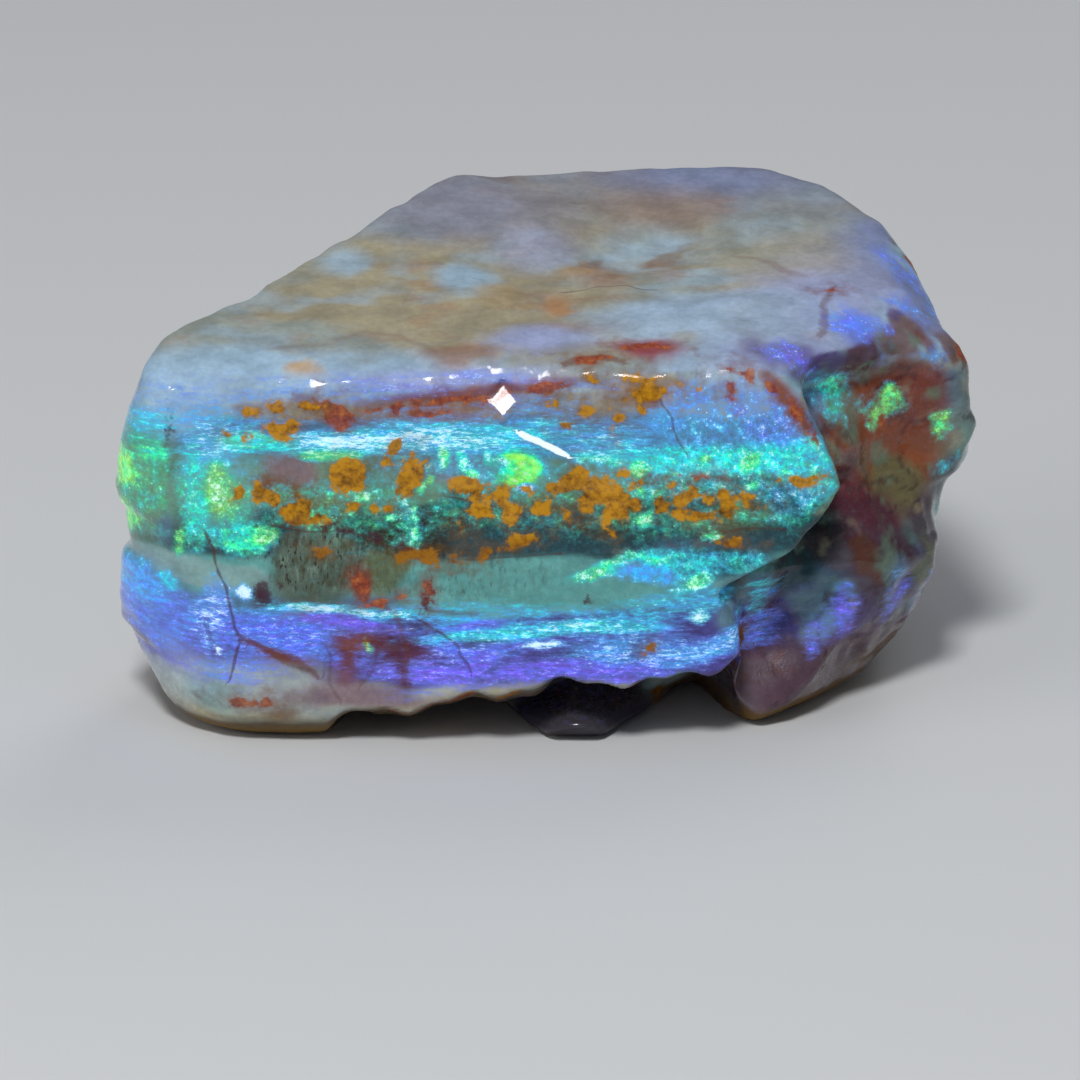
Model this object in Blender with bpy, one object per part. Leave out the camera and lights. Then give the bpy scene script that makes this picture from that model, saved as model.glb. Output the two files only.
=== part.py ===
"""A piece of rough opal, as one solid: a flat-topped block of layered stone with broken sides.

The block is the space inside a set of planes, one for each broken face, whose corners are a little
rounded. Lumps, layers and hollows then move its surface. Lengths are in millimetres until the end.
The origin is on the table below the middle of the stone, the long side runs along X and up is +Z.
"""

import bmesh
import bpy
import numpy as np

MM = 0.001
SEED = 7

# The broken faces: azimuth and elevation of the outward direction, and distance from the heart
HEART = np.array([0.0, 0.0, 8.2])
FACES = {
    "front": (-90, 17, 8.5),
    "front rim": (-92, 50, 8.35),
    "front foot": (-91, -24, 12.75),
    "top": (-92, 80.5, 6.2),
    "top right": (-26, 56, 11.3),
    "top back": (98, 40, 12.3),
    "front left": (-132, -2, 15.9),
    "left": (-172, 3, 16.5),
    "upper left": (-165, 34, 15.5),
    "lower left": (-174, -27, 16.5),
    "left back": (143, 7, 9.0),
    "middle back": (120, 9, 9.9),
    "back": (94, 2, 10.1),
    "lower back": (120, -36, 11.0),
    "right back": (50, 4, 13.5),
    "far right back": (28, 8, 14.6),
    "lower right back": (70, -40, 12.2),
    "right": (8, 14, 14.95),
    "right low": (8, -14, 15.0),
    "upper right": (25, 35, 15.4),
    "lower right": (0, -23, 14.7),
    "right foot": (5, -50, 13.4),
    "end": (-38, -3, 13.6),
    "lower end": (-40, -22, 13.7),
    "nose top": (-60, 31, 11.6),
    "base": (0, -90, 8.45),
}
CORNER_SHARPNESS = 32.0

# Lumps all over: size of the largest, and how far they stand out
LUMP_SIZE = 6.0
LUMP_HEIGHT = 0.34
# Shell-shaped chips on every side, shallow on the front
CHIPS = 60
CHIP_RADIUS = 4.2
CHIP_DEPTH = 0.5
# Knobs of the broken end: size, height, and where they begin and are full along X and Y
KNOB_SIZE = 2.4
KNOB_HEIGHT = 0.42
KNOB_X = (9.3, 11.0)
KNOB_Y = (2.0, -1.0)
# Long waves of the front, and pockets in the underside
WAVE_SIZE = np.array([8.0, 8.0, 5.0])
WAVE_HEIGHT = 0.28
POCKET_SIZE = 5.5
POCKET_DEPTH = 1.1
# Layers of the stone: height of the upper edge of each, and how far its edge stands out
LAYER_TOP = np.array([2.7, 5.7, 7.6, 9.9, 12.2])
LAYER_OUT = np.array([0.00, 0.16, -0.10, 0.06, -0.08, 0.02])
LAYER_EDGE = 0.28

# The end face looks along this azimuth; `along` runs over it from the nose to the right-hand rim
END_AZIMUTH = -38.0
END_INNER = 3.0
END_OUTER = 12.0
HOLLOW_DEPTH = 2.3
HOLLOW_Z = (6.6, 12.9)
HOLLOW_ALONG = (-0.6, 1.3, 3.4, 8.2)
# Below the nose: the height of the nose's underside and of the lower block's top
UNDER_NOSE = ((-4.2, 5.8), (-3.2, 6.0), (-1.8, 6.9), (-1.0, 7.9), (-0.4, 8.7), (1.5, 8.9))
BLOCK_TOP = ((-4.1, 1.2), (-2.5, 1.8), (-1.1, 2.6), (1.0, 4.2), (3.5, 6.0))
NOTCH_DEPTH = 2.5
CREASE_DEPTH = 1.3
END_LIFT = ((-3.0, -1.5), (0.8, -0.6), (1.6, -0.1), (2.6, 0.3), (5.6, 0.5), (8.5, 1.0))
END_LIFT_DEPTH = 2.6

# The front is undercut between its left foot and the end: height of the lower edge along X
LOWER_EDGE = (
    (-16.0, -2.0),
    (-9.8, -0.9),
    (-8.7, 0.0),
    (-7.6, 0.75),
    (-6.6, 1.15),
    (-5.3, 1.35),
    (-3.0, 1.85),
    (-0.3, 2.4),
    (3.9, 2.35),
    (5.6, 2.7),
    (6.8, 3.2),
    (12.0, 4.6),
)
UNDERCUT_DEPTH = 4.6
# A ledge under the left half of the edge goes back by a share of the depth; the rest comes lower
LEDGE_X = (-7.0, 0.4)
LEDGE_SHARE = 0.30
LEDGE_DROP = (0.55, 1.3)
# The toe: a low swelling that reaches the table in front of the undercut
TOE_X = 1.3
TOE_WIDTH = 2.4
TOE_REACH = 3.9
TOE_HEIGHT = 1.3

# Radius of the worn lower edge, and the reach inside which the base is drawn in less
FOOT_ROUND = 0.9
FOOT_KEPT = 6.0

# The mesh: points of the ball it starts from, and share of its triangles kept
BALL_SUBDIVISIONS = 8
KEEP = 0.0235
FLAT_WITHIN = 0.03
# Where the middle of the stone's outline falls, seen from the heart
MIDDLE = np.array([-0.001, 0.078, 0.0])


def ramp(value, start, end):
    """0 up to start, 1 from end on, and a smooth climb between them."""
    share = np.clip((value - start) / (end - start), 0.0, 1.0)
    return share * share * (3.0 - 2.0 * share)


def between(value, start, end, soft):
    """1 between start and end and 0 outside, with soft edges."""
    return ramp(value, start - soft, start + soft) * (1.0 - ramp(value, end - soft, end + soft))


def along_line(value, points):
    """The height at value on a line through the points."""
    x, y = np.array(points).T
    return np.interp(value, x, y)


def noise(points, seed):
    """Smooth random numbers from -1 to 1 over a lattice with cells of 1."""
    cell = np.floor(points).astype(np.int64)
    part = points - cell
    part = part**3 * (part * (part * 6.0 - 15.0) + 10.0)
    total = 0.0
    for corner in np.ndindex(2, 2, 2):
        at = cell + np.array(corner)
        mixed = (at[:, 0] * 73856093) ^ (at[:, 1] * 19349663) ^ (at[:, 2] * 83492791)
        mixed = (mixed ^ (seed * 2654435761)) & 0xFFFFFFFF
        mixed = ((mixed ^ (mixed >> 13)) * 1274126177) & 0xFFFFFFFF
        mixed = (mixed ^ (mixed >> 16)) & 0xFFFF
        weight = np.prod(np.where(np.array(corner) == 1, part, 1.0 - part), axis=1)
        total = total + weight * (mixed / 32767.5 - 1.0)
    return total


def lumps(points, size, seed, octaves):
    """Noise of several sizes, each half as large and half as strong as the one before."""
    total = 0.0
    weights = 0.0
    for octave in range(octaves):
        weight = 0.5**octave
        total = total + weight * noise(points * 2**octave / size + 17.3 * octave, seed + octave)
        weights += weight
    return total / weights


def plane_table():
    """The outward directions and the distances of the broken faces."""
    azimuth, elevation, distance = np.array(list(FACES.values()), float).T
    azimuth = np.radians(azimuth)
    elevation = np.radians(elevation)
    out = np.stack(
        [
            np.cos(azimuth) * np.cos(elevation),
            np.sin(azimuth) * np.cos(elevation),
            np.sin(elevation),
        ],
        axis=1,
    )
    return out, distance


def block(directions):
    """The points of the plain block in these directions from its heart."""
    out, distance = plane_table()
    reach = np.maximum(directions @ out.T / distance, 0.0)
    most = reach.max(axis=1, keepdims=True)
    rounded = ((reach / most) ** CORNER_SHARPNESS).sum(axis=1, keepdims=True)
    return HEART + directions / (most * rounded ** (1.0 / CORNER_SHARPNESS))


def outward(points):
    """Level directions away from the heart, and how much each point belongs to a side."""
    away = points - HEART
    level = away * np.array([1.0, 1.0, 0.0])
    level /= np.maximum(np.linalg.norm(level, axis=1, keepdims=True), 1e-6)
    top = ramp(points[:, 2] - 0.17 * points[:, 1], 14.3, 12.9)
    return level, top * ramp(points[:, 2], 0.0, 1.2)


def relief(points):
    """Lumps, layers and chips."""
    x, y, z = points.T
    level, side = outward(points)
    front = ramp(-y, 5.0, 8.5) * between(x, -13.5, 9.5, 1.5)
    height = z + 0.35 * noise(points * np.array([0.12, 0.12, 0.0]), SEED + 20)
    layer = np.full(len(points), LAYER_OUT[0])
    for edge, before, after in zip(LAYER_TOP, LAYER_OUT[:-1], LAYER_OUT[1:]):
        layer += (after - before) * ramp(height, edge - LAYER_EDGE, edge + LAYER_EDGE)
    layer *= side * (1.0 - 0.85 * front) * (0.8 + 0.9 * noise(points / 4.0, SEED + 30))
    random = np.random.default_rng(SEED)
    centre = block(random.normal(size=(CHIPS, 3)))
    near = np.linalg.norm(points[:, None, :] - centre[None, :, :], axis=2).min(axis=1)
    chip = CHIP_DEPTH * (np.minimum(near / CHIP_RADIUS, 1.0) ** 2 - 0.45) * side * (1.0 - 0.7 * front)
    wave = WAVE_HEIGHT * noise(points / WAVE_SIZE, SEED + 40) * front
    away = points - HEART
    away /= np.linalg.norm(away, axis=1, keepdims=True)
    lump = LUMP_HEIGHT * lumps(points, LUMP_SIZE, SEED, 4)
    knobbed = ramp(x, *KNOB_X) * ramp(y, *KNOB_Y) * side
    lump += KNOB_HEIGHT * lumps(points, KNOB_SIZE, SEED + 10, 3) * knobbed
    pocket = POCKET_DEPTH * ramp(noise(points / POCKET_SIZE, SEED + 50), 0.02, 0.75)
    moved = points + away * lump[:, None] + level * (layer + chip + wave)[:, None]
    moved[:, 2] += pocket * ramp(z, 1.4, 0.3) * (1.0 - 0.8 * ramp(-y, 6.0, 9.0))
    return moved


def hollows(points):
    """The hollow in the end, the notch under the nose, and the undercut front."""
    x, y, z = points.T
    end_x = np.cos(np.radians(END_AZIMUTH))
    end_y = np.sin(np.radians(END_AZIMUTH))
    out = end_x * x + end_y * y
    along = end_x * y - end_y * x
    end = ramp(out, END_INNER, END_OUTER)

    start, full, fading, gone = HOLLOW_ALONG
    hollow = ramp(along, start, full) * (1.0 - ramp(along, fading, gone))
    hollow *= ramp(z, HOLLOW_Z[0] - 1.4, HOLLOW_Z[0] + 2.2) * (
        1.0 - ramp(z, HOLLOW_Z[1] - 1.3, HOLLOW_Z[1] + 0.6)
    )
    nose = along_line(along, UNDER_NOSE)
    top = along_line(along, BLOCK_TOP)
    notch = ramp(along, -4.4, -1.8) * (1.0 - ramp(along, -0.2, 3.2))
    notch *= ramp(nose - z, -0.1, 0.75) * ramp(z - top, -1.7, 0.7)
    crease = np.exp(-(((nose - 0.5 - z) / 0.4) ** 2))
    crease *= ramp(along, -3.9, -2.3) * (1.0 - ramp(along, 1.0, 3.0))
    lift = ramp(along_line(along, END_LIFT) - z, -0.2, 0.5) * ramp(out, 7.0, 11.0)
    inward = end * (HOLLOW_DEPTH * hollow + NOTCH_DEPTH * notch + CREASE_DEPTH * crease)
    inward += END_LIFT_DEPTH * lift

    edge = along_line(x, LOWER_EDGE) + 0.16 * np.sin(1.7 * x + 0.6) + 0.08 * np.sin(4.1 * x)
    front = ramp(-y, 1.5, 10.0) * ramp(x, -10.2, -7.0) * (1.0 - ramp(x, 5.6, 7.8))
    under = ramp(edge - z, -0.2, 0.6)
    stepped = LEDGE_SHARE * under + (1.0 - LEDGE_SHARE) * ramp(edge - z, *LEDGE_DROP)
    under += (stepped - under) * between(x, *LEDGE_X, 0.9)
    depth = UNDERCUT_DEPTH * (1.0 + 0.35 * noise(points * np.array([0.33, 0.0, 0.4]), SEED + 60))
    swell = np.exp(-(((x - TOE_X) / TOE_WIDTH) ** 2))
    toe = swell * np.sqrt(np.clip(1.0 - (z / (TOE_HEIGHT * swell + 0.01)) ** 2, 0.0, 1.0))
    back = front * under * np.maximum(depth - TOE_REACH * toe, 0.4)

    moved = points.copy()
    moved[:, 0] -= end_x * inward
    moved[:, 1] -= end_y * inward
    moved[:, 1] += back
    return moved


def top_steps(points):
    """The dishes and the low back step of the upper face."""
    x, y, z = points.T
    upper = ramp(z, 11.5, 13.0)
    step = 0.16 * ramp(x + 1.1 * y, 0.6, 3.2) * (1.0 - ramp(x, -2.5, 2.5))
    dish = -0.45 * np.exp(-(((x - 3.5) / 4.0) ** 2) - ((y - 2.2) / 2.6) ** 2)
    ridge = 0.25 * np.exp(-(((x + 3.4) / 2.2) ** 2) - ((y + 1.6) / 1.1) ** 2)
    moved = points.copy()
    moved[:, 2] += upper * (step + dish + ridge)
    return moved


def worn_foot(points):
    """The lower edge, worn to a quarter round by drawing it in towards the middle."""
    share = np.clip(1.0 - points[:, 2] / FOOT_ROUND, 0.0, 1.0)
    inward = FOOT_ROUND * (1.0 - np.sqrt(1.0 - share**2))
    reach = np.linalg.norm(points[:, :2], axis=1)
    shrink = 1.0 - inward / np.maximum(reach, FOOT_KEPT)
    return points * np.stack([shrink, shrink, np.ones(len(points))], axis=1)


def stone(directions):
    """The surface of the stone in these directions from its heart, standing on the table."""
    points = top_steps(hollows(relief(block(directions))))
    points[:, 2] = np.maximum(points[:, 2], 0.0)
    return worn_foot(points) - MIDDLE


def read_points(mesh):
    points = np.empty(len(mesh.vertices) * 3, np.float32)
    mesh.vertices.foreach_get("co", points)
    return points.reshape(-1, 3).astype(float)


def write_points(mesh, points):
    mesh.vertices.foreach_set("co", points.astype(np.float32).ravel())
    mesh.update()


def opal_material():
    material = bpy.data.materials.new("opal")
    material.use_nodes = True
    shader = material.node_tree.nodes["Principled BSDF"]
    shader.inputs["Base Color"].default_value = (0.42, 0.50, 0.62, 1.0)
    shader.inputs["Roughness"].default_value = 0.25
    shader.inputs["Metallic"].default_value = 0.0
    return material


for leftover in list(bpy.data.objects):
    bpy.data.objects.remove(leftover)

collection = bpy.data.collections.new("rough_opal")
bpy.context.scene.collection.children.link(collection)

ball = bmesh.new()
bmesh.ops.create_icosphere(ball, subdivisions=BALL_SUBDIVISIONS, radius=1.0)
fine = bpy.data.meshes.new("fine")
ball.to_mesh(fine)
ball.free()
# Spread over a box of the stone's proportions, so that the points come out evenly spaced
spread = read_points(fine)
spread = np.sign(spread) * np.abs(spread) ** 0.75 * np.array([15.5, 10.5, 8.0])
write_points(fine, stone(spread) * MM)

carved = bpy.data.objects.new("carved", fine)
collection.objects.link(carved)
reduce = carved.modifiers.new("reduce", "DECIMATE")
reduce.ratio = KEEP
graph = bpy.context.evaluated_depsgraph_get()
coarse = bpy.data.meshes.new_from_object(carved.evaluated_get(graph))
bpy.data.objects.remove(carved)

# The parts that touch the table are exactly level
resting = read_points(coarse)
resting[:, 2] = np.where(resting[:, 2] < FLAT_WITHIN * MM, 0.0, resting[:, 2])
write_points(coarse, resting)

coarse.name = "rough_opal"
coarse.materials.append(opal_material())
opal = bpy.data.objects.new("rough_opal", coarse)
collection.objects.link(opal)
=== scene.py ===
"""A piece of rough opal with its layers, veins and play of colour, on a pale floor in soft light.

The stone is one piece. Its shape is worked out in millimetres, standing on the table below the
middle of its outline, with the long side along X, the broken front towards -Y and +Z up.
"""

import bpy
import numpy as np
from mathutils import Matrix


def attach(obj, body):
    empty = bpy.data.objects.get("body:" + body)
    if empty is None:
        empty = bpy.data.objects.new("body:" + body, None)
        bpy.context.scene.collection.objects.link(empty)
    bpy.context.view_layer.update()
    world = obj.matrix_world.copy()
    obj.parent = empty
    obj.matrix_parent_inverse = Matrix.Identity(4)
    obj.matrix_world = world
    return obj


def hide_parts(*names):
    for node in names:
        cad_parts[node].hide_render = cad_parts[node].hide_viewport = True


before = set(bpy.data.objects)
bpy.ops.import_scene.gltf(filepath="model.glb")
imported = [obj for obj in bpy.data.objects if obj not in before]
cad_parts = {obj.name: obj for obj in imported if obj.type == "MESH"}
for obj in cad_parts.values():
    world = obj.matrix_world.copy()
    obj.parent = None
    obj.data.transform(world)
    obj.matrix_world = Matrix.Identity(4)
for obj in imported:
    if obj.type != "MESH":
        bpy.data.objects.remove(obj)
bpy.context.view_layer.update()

# ---------------------------------------------------------------------------------------------
# The opal. One natural piece of boulder opal: layers of pale potch and of opal with play of
# colour, ironstone at one end and rust along its joints, broken by hand on every side but the top.
# ---------------------------------------------------------------------------------------------

MM = 0.001
# Each noise adds a number of its own to this seed
SEED = 7

# The broken faces: azimuth and elevation of the outward direction, and distance from the heart
HEART = np.array([0.0, 0.0, 8.2])
FACES = {
    "front": (-90, 17, 8.5),
    "front rim": (-92, 50, 8.35),
    "front foot": (-91, -24, 12.75),
    "top": (-92, 80.5, 6.2),
    "top right": (-26, 56, 11.3),
    "top back": (98, 40, 12.3),
    "front left": (-132, -2, 15.9),
    "left": (-172, 3, 16.5),
    "upper left": (-165, 34, 15.5),
    "lower left": (-174, -27, 16.5),
    "left back": (143, 7, 9.0),
    "middle back": (120, 9, 9.9),
    "back": (94, 2, 10.1),
    "lower back": (120, -36, 11.0),
    "right back": (50, 4, 13.5),
    "far right back": (28, 8, 14.6),
    "lower right back": (70, -40, 12.2),
    "right": (8, 14, 14.95),
    "right low": (8, -14, 15.0),
    "upper right": (25, 35, 15.4),
    "lower right": (0, -23, 14.7),
    "right foot": (5, -50, 13.4),
    "end": (-38, -3, 13.6),
    "lower end": (-40, -22, 13.7),
    "nose top": (-60, 31, 11.6),
    "base": (0, -90, 8.45),
}
CORNER_SHARPNESS = 32.0


def ramp(value, start, end):
    """0 up to start, 1 from end on, and a smooth climb between them."""
    share = np.clip((value - start) / (end - start), 0.0, 1.0)
    return share * share * (3.0 - 2.0 * share)


def between(value, start, end, soft):
    """1 between start and end and 0 outside, with soft edges."""
    return ramp(value, start - soft, start + soft) * (1.0 - ramp(value, end - soft, end + soft))


def span(value, marks):
    """0 up to the first mark, 1 from the second to the third, and 0 again from the fourth on."""
    begun, full, fading, gone = marks
    return ramp(value, begun, full) * (1.0 - ramp(value, fading, gone))


def bell(x, y, at_x, at_y, wide, deep):
    """A smooth hill of height 1 round a middle: e to the minus square of the distance in half widths."""
    return np.exp(-(((x - at_x) / wide) ** 2) - ((y - at_y) / deep) ** 2)


def along_line(value, points):
    """The height at value on a line through the points."""
    x, y = np.array(points).T
    return np.interp(value, x, y)


def noise(points, seed):
    """Smooth random numbers from -1 to 1 over a lattice with cells of 1: each corner's number is its
    whole coordinates times large odd numbers, mixed bit by bit, and they blend inside the cell."""
    cell = np.floor(points).astype(np.int64)
    part = points - cell
    part = part**3 * (part * (part * 6.0 - 15.0) + 10.0)
    total = 0.0
    for corner in np.ndindex(2, 2, 2):
        at = cell + np.array(corner)
        mixed = (at[:, 0] * 73856093) ^ (at[:, 1] * 19349663) ^ (at[:, 2] * 83492791)
        mixed = (mixed ^ (seed * 2654435761)) & 0xFFFFFFFF
        mixed = ((mixed ^ (mixed >> 13)) * 1274126177) & 0xFFFFFFFF
        mixed = (mixed ^ (mixed >> 16)) & 0xFFFF
        weight = np.prod(np.where(np.array(corner) == 1, part, 1.0 - part), axis=1)
        total = total + weight * (mixed / 32767.5 - 1.0)
    return total


def lumps(points, size, seed, octaves):
    """Noise of several sizes, each half as large and half as strong as the one before. The largest has
    one size, or one along each of X, Y and Z."""
    size = np.array(size)
    total = 0.0
    weights = 0.0
    for octave in range(octaves):
        weight = 0.5**octave
        total = total + weight * noise(points * 2**octave / size + 17.3 * octave, seed + octave)
        weights += weight
    return total / weights


def plane_table():
    """The outward directions and the distances of the broken faces."""
    azimuth, elevation, distance = np.array(list(FACES.values()), float).T
    azimuth = np.radians(azimuth)
    elevation = np.radians(elevation)
    out = np.stack(
        [
            np.cos(azimuth) * np.cos(elevation),
            np.sin(azimuth) * np.cos(elevation),
            np.sin(elevation),
        ],
        axis=1,
    )
    return out, distance


def block(directions):
    """The points of the plain block in these directions from its heart."""
    out, distance = plane_table()
    reach = np.maximum(directions @ out.T / distance, 0.0)
    most = reach.max(axis=1, keepdims=True)
    rounded = ((reach / most) ** CORNER_SHARPNESS).sum(axis=1, keepdims=True)
    return HEART + directions / (most * rounded ** (1.0 / CORNER_SHARPNESS))


# How steeply the top climbs to the back, and the heights, over that climb and over the table, at which
# the sides begin and are full
TOP_RISE = 0.17
SIDE_TOP = (14.3, 12.9)
SIDE_FOOT = (0.0, 1.2)


def over_top(points):
    """Height above a plane that climbs to the back as the top does."""
    return points[:, 2] - TOP_RISE * points[:, 1]


def outward(points):
    """Level directions away from the heart, and how much each point belongs to a side."""
    away = points - HEART
    level = away * np.array([1.0, 1.0, 0.0])
    level /= np.maximum(np.linalg.norm(level, axis=1, keepdims=True), 1e-6)
    return level, ramp(over_top(points), *SIDE_TOP) * ramp(points[:, 2], *SIDE_FOOT)


# How far forward the front begins and is full, and its span in X
FRONT_REACH = (5.0, 8.5)
FRONT_SPAN = (-13.5, 9.5)

# Lumps all over: size of the largest, and how far they stand out
LUMP_SIZE = 6.0
LUMP_HEIGHT = 0.34
# Shell-shaped chips on every side, shallow on the front
CHIPS = 60
CHIP_RADIUS = 4.2
CHIP_DEPTH = 0.5
CHIP_LEVEL = 0.45
CHIP_LOST_ON_FRONT = 0.7
# Knobs of the broken end: size, height, and where they begin and are full along X and Y
KNOB_SIZE = 2.4
KNOB_HEIGHT = 0.42
KNOB_X = (9.3, 11.0)
KNOB_Y = (2.0, -1.0)
# Long waves of the front, and pockets in the underside
WAVE_SIZE = np.array([8.0, 8.0, 5.0])
WAVE_HEIGHT = 0.28
POCKET_SIZE = 5.5
POCKET_DEPTH = 1.1
POCKET_Z = (1.4, 0.3)
# Layers of the stone: height of the upper edge of each, how far its edge stands out, and how much the
# heights wander round the stone
LAYER_TOP = np.array([2.7, 5.7, 7.6, 9.9, 12.2])
LAYER_OUT = np.array([0.00, 0.16, -0.10, 0.06, -0.08, 0.02])
LAYER_EDGE = 0.28
LAYER_SWAY = 0.35
LAYER_LOST_ON_FRONT = 0.85


def relief(points):
    """Lumps, layers and chips. Lumps push along the line from the heart; layers, chips and the front's
    waves push level; a chip is a bowl round the nearest of the random centres."""
    x, y, z = points.T
    level, side = outward(points)
    front = ramp(-y, *FRONT_REACH) * between(x, *FRONT_SPAN, 1.5)
    height = z + LAYER_SWAY * noise(points * np.array([0.12, 0.12, 0.0]), SEED + 20)
    layer = np.full(len(points), LAYER_OUT[0])
    for edge, before, after in zip(LAYER_TOP, LAYER_OUT[:-1], LAYER_OUT[1:]):
        layer += (after - before) * ramp(height, edge - LAYER_EDGE, edge + LAYER_EDGE)
    layer *= side * (1.0 - LAYER_LOST_ON_FRONT * front)
    layer *= 0.8 + 0.9 * noise(points / 4.0, SEED + 30)
    random = np.random.default_rng(SEED)
    centre = block(random.normal(size=(CHIPS, 3)))
    near = np.linalg.norm(points[:, None, :] - centre[None, :, :], axis=2).min(axis=1)
    chip = CHIP_DEPTH * (np.minimum(near / CHIP_RADIUS, 1.0) ** 2 - CHIP_LEVEL)
    chip *= side * (1.0 - CHIP_LOST_ON_FRONT * front)
    wave = WAVE_HEIGHT * noise(points / WAVE_SIZE, SEED + 40) * front
    away = points - HEART
    away /= np.linalg.norm(away, axis=1, keepdims=True)
    lump = LUMP_HEIGHT * lumps(points, LUMP_SIZE, SEED, 4)
    knobbed = ramp(x, *KNOB_X) * ramp(y, *KNOB_Y) * side
    lump += KNOB_HEIGHT * lumps(points, KNOB_SIZE, SEED + 10, 3) * knobbed
    pocket = POCKET_DEPTH * ramp(noise(points / POCKET_SIZE, SEED + 50), 0.02, 0.75)
    moved = points + away * lump[:, None] + level * (layer + chip + wave)[:, None]
    moved[:, 2] += pocket * ramp(z, *POCKET_Z) * (1.0 - 0.8 * ramp(-y, 6.0, 9.0))
    return moved


# The end face looks along this azimuth; `along` runs over it from the nose to the right-hand rim.
# Four numbers are a span: begun, full, fading, gone. Two numbers, here and below, are begun and full
END_AZIMUTH = -38.0
END_INNER = 3.0
END_OUTER = 12.0
HOLLOW_DEPTH = 2.3
HOLLOW_Z = (5.2, 8.8, 11.6, 13.5)
HOLLOW_ALONG = (-0.6, 1.3, 3.4, 8.2)
# Below the nose: the height of the nose's underside and of the lower block's top
UNDER_NOSE = ((-4.2, 5.8), (-3.2, 6.0), (-1.8, 6.9), (-1.0, 7.9), (-0.4, 8.7), (1.5, 8.9))
BLOCK_TOP = ((-4.1, 1.2), (-2.5, 1.8), (-1.1, 2.6), (1.0, 4.2), (3.5, 6.0))
NOTCH_DEPTH = 2.5
NOTCH_ALONG = (-4.4, -1.8, -0.2, 3.2)
NOTCH_BELOW_NOSE = (-0.1, 0.75)
NOTCH_ABOVE_BLOCK = (-1.7, 0.7)
CREASE_DEPTH = 1.3
CREASE_DROP = 0.5
CREASE_HALF = 0.4
CREASE_ALONG = (-3.9, -2.3, 1.0, 3.0)
END_LIFT = ((-3.0, -1.5), (0.8, -0.6), (1.6, -0.1), (2.6, 0.3), (5.6, 0.5), (8.5, 1.0))
END_LIFT_DEPTH = 2.6
END_LIFT_BELOW = (-0.2, 0.5)
END_LIFT_OUT = (7.0, 11.0)

# The front is undercut between its left foot and the end: height of the lower edge along X, its two
# waves as height, turns and start, and the undercut's span in X
LOWER_EDGE = (
    (-16.0, -2.0),
    (-9.8, -0.9),
    (-8.7, 0.0),
    (-7.6, 0.75),
    (-6.6, 1.15),
    (-5.3, 1.35),
    (-3.0, 1.85),
    (-0.3, 2.4),
    (3.9, 2.35),
    (5.6, 2.7),
    (6.8, 3.2),
    (12.0, 4.6),
)
EDGE_WAVES = ((0.16, 1.7, 0.6), (0.08, 4.1, 0.0))
UNDERCUT_X = (-10.2, -7.0, 5.6, 7.8)
UNDERCUT_FORWARD = (1.5, 10.0)
UNDERCUT_BELOW = (-0.2, 0.6)
UNDERCUT_DEPTH = 4.6
UNDERCUT_LEAST = 0.4
# A ledge under the left half of the edge goes back by a share of the depth; the rest comes lower
LEDGE_X = (-7.0, 0.4)
LEDGE_SHARE = 0.30
LEDGE_DROP = (0.55, 1.3)
# The toe: a low swelling that reaches the table in front of the undercut
TOE_X = 1.3
TOE_WIDTH = 2.4
TOE_REACH = 3.9
TOE_HEIGHT = 1.3


def hollows(points):
    """The hollow in the end, the notch and the crease under the nose, drawn in along the end's own
    direction; and the undercut front, drawn back along Y, with its ledge and its toe."""
    x, y, z = points.T
    end_x = np.cos(np.radians(END_AZIMUTH))
    end_y = np.sin(np.radians(END_AZIMUTH))
    out = end_x * x + end_y * y
    along = end_x * y - end_y * x
    hollow = span(along, HOLLOW_ALONG) * span(z, HOLLOW_Z)
    nose = along_line(along, UNDER_NOSE)
    top = along_line(along, BLOCK_TOP)
    notch = span(along, NOTCH_ALONG) * ramp(nose - z, *NOTCH_BELOW_NOSE)
    notch *= ramp(z - top, *NOTCH_ABOVE_BLOCK)
    crease = np.exp(-(((nose - CREASE_DROP - z) / CREASE_HALF) ** 2)) * span(along, CREASE_ALONG)
    lift = ramp(along_line(along, END_LIFT) - z, *END_LIFT_BELOW) * ramp(out, *END_LIFT_OUT)
    inward = HOLLOW_DEPTH * hollow + NOTCH_DEPTH * notch + CREASE_DEPTH * crease
    inward = inward * ramp(out, END_INNER, END_OUTER) + END_LIFT_DEPTH * lift

    edge = along_line(x, LOWER_EDGE)
    for height, turns, start in EDGE_WAVES:
        edge = edge + height * np.sin(turns * x + start)
    front = ramp(-y, *UNDERCUT_FORWARD) * span(x, UNDERCUT_X)
    under = ramp(edge - z, *UNDERCUT_BELOW)
    stepped = LEDGE_SHARE * under + (1.0 - LEDGE_SHARE) * ramp(edge - z, *LEDGE_DROP)
    under += (stepped - under) * between(x, *LEDGE_X, 0.9)
    depth = UNDERCUT_DEPTH * (1.0 + 0.35 * noise(points * np.array([0.33, 0.0, 0.4]), SEED + 60))
    swell = np.exp(-(((x - TOE_X) / TOE_WIDTH) ** 2))
    toe = swell * np.sqrt(np.clip(1.0 - (z / (TOE_HEIGHT * swell + 0.01)) ** 2, 0.0, 1.0))
    back = front * under * np.maximum(depth - TOE_REACH * toe, UNDERCUT_LEAST)

    moved = points.copy()
    moved[:, 0] -= end_x * inward
    moved[:, 1] -= end_y * inward
    moved[:, 1] += back
    return moved


# The upper face: where it begins in height, the height of the low step across its back, and its
# dishes and ridges as height, middle X and Y, half widths
UPPER_Z = (11.5, 13.0)
BACK_STEP = 0.16
TOP_BELLS = ((-0.45, 3.5, 2.2, 4.0, 2.6), (0.25, -3.4, -1.6, 2.2, 1.1))


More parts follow.
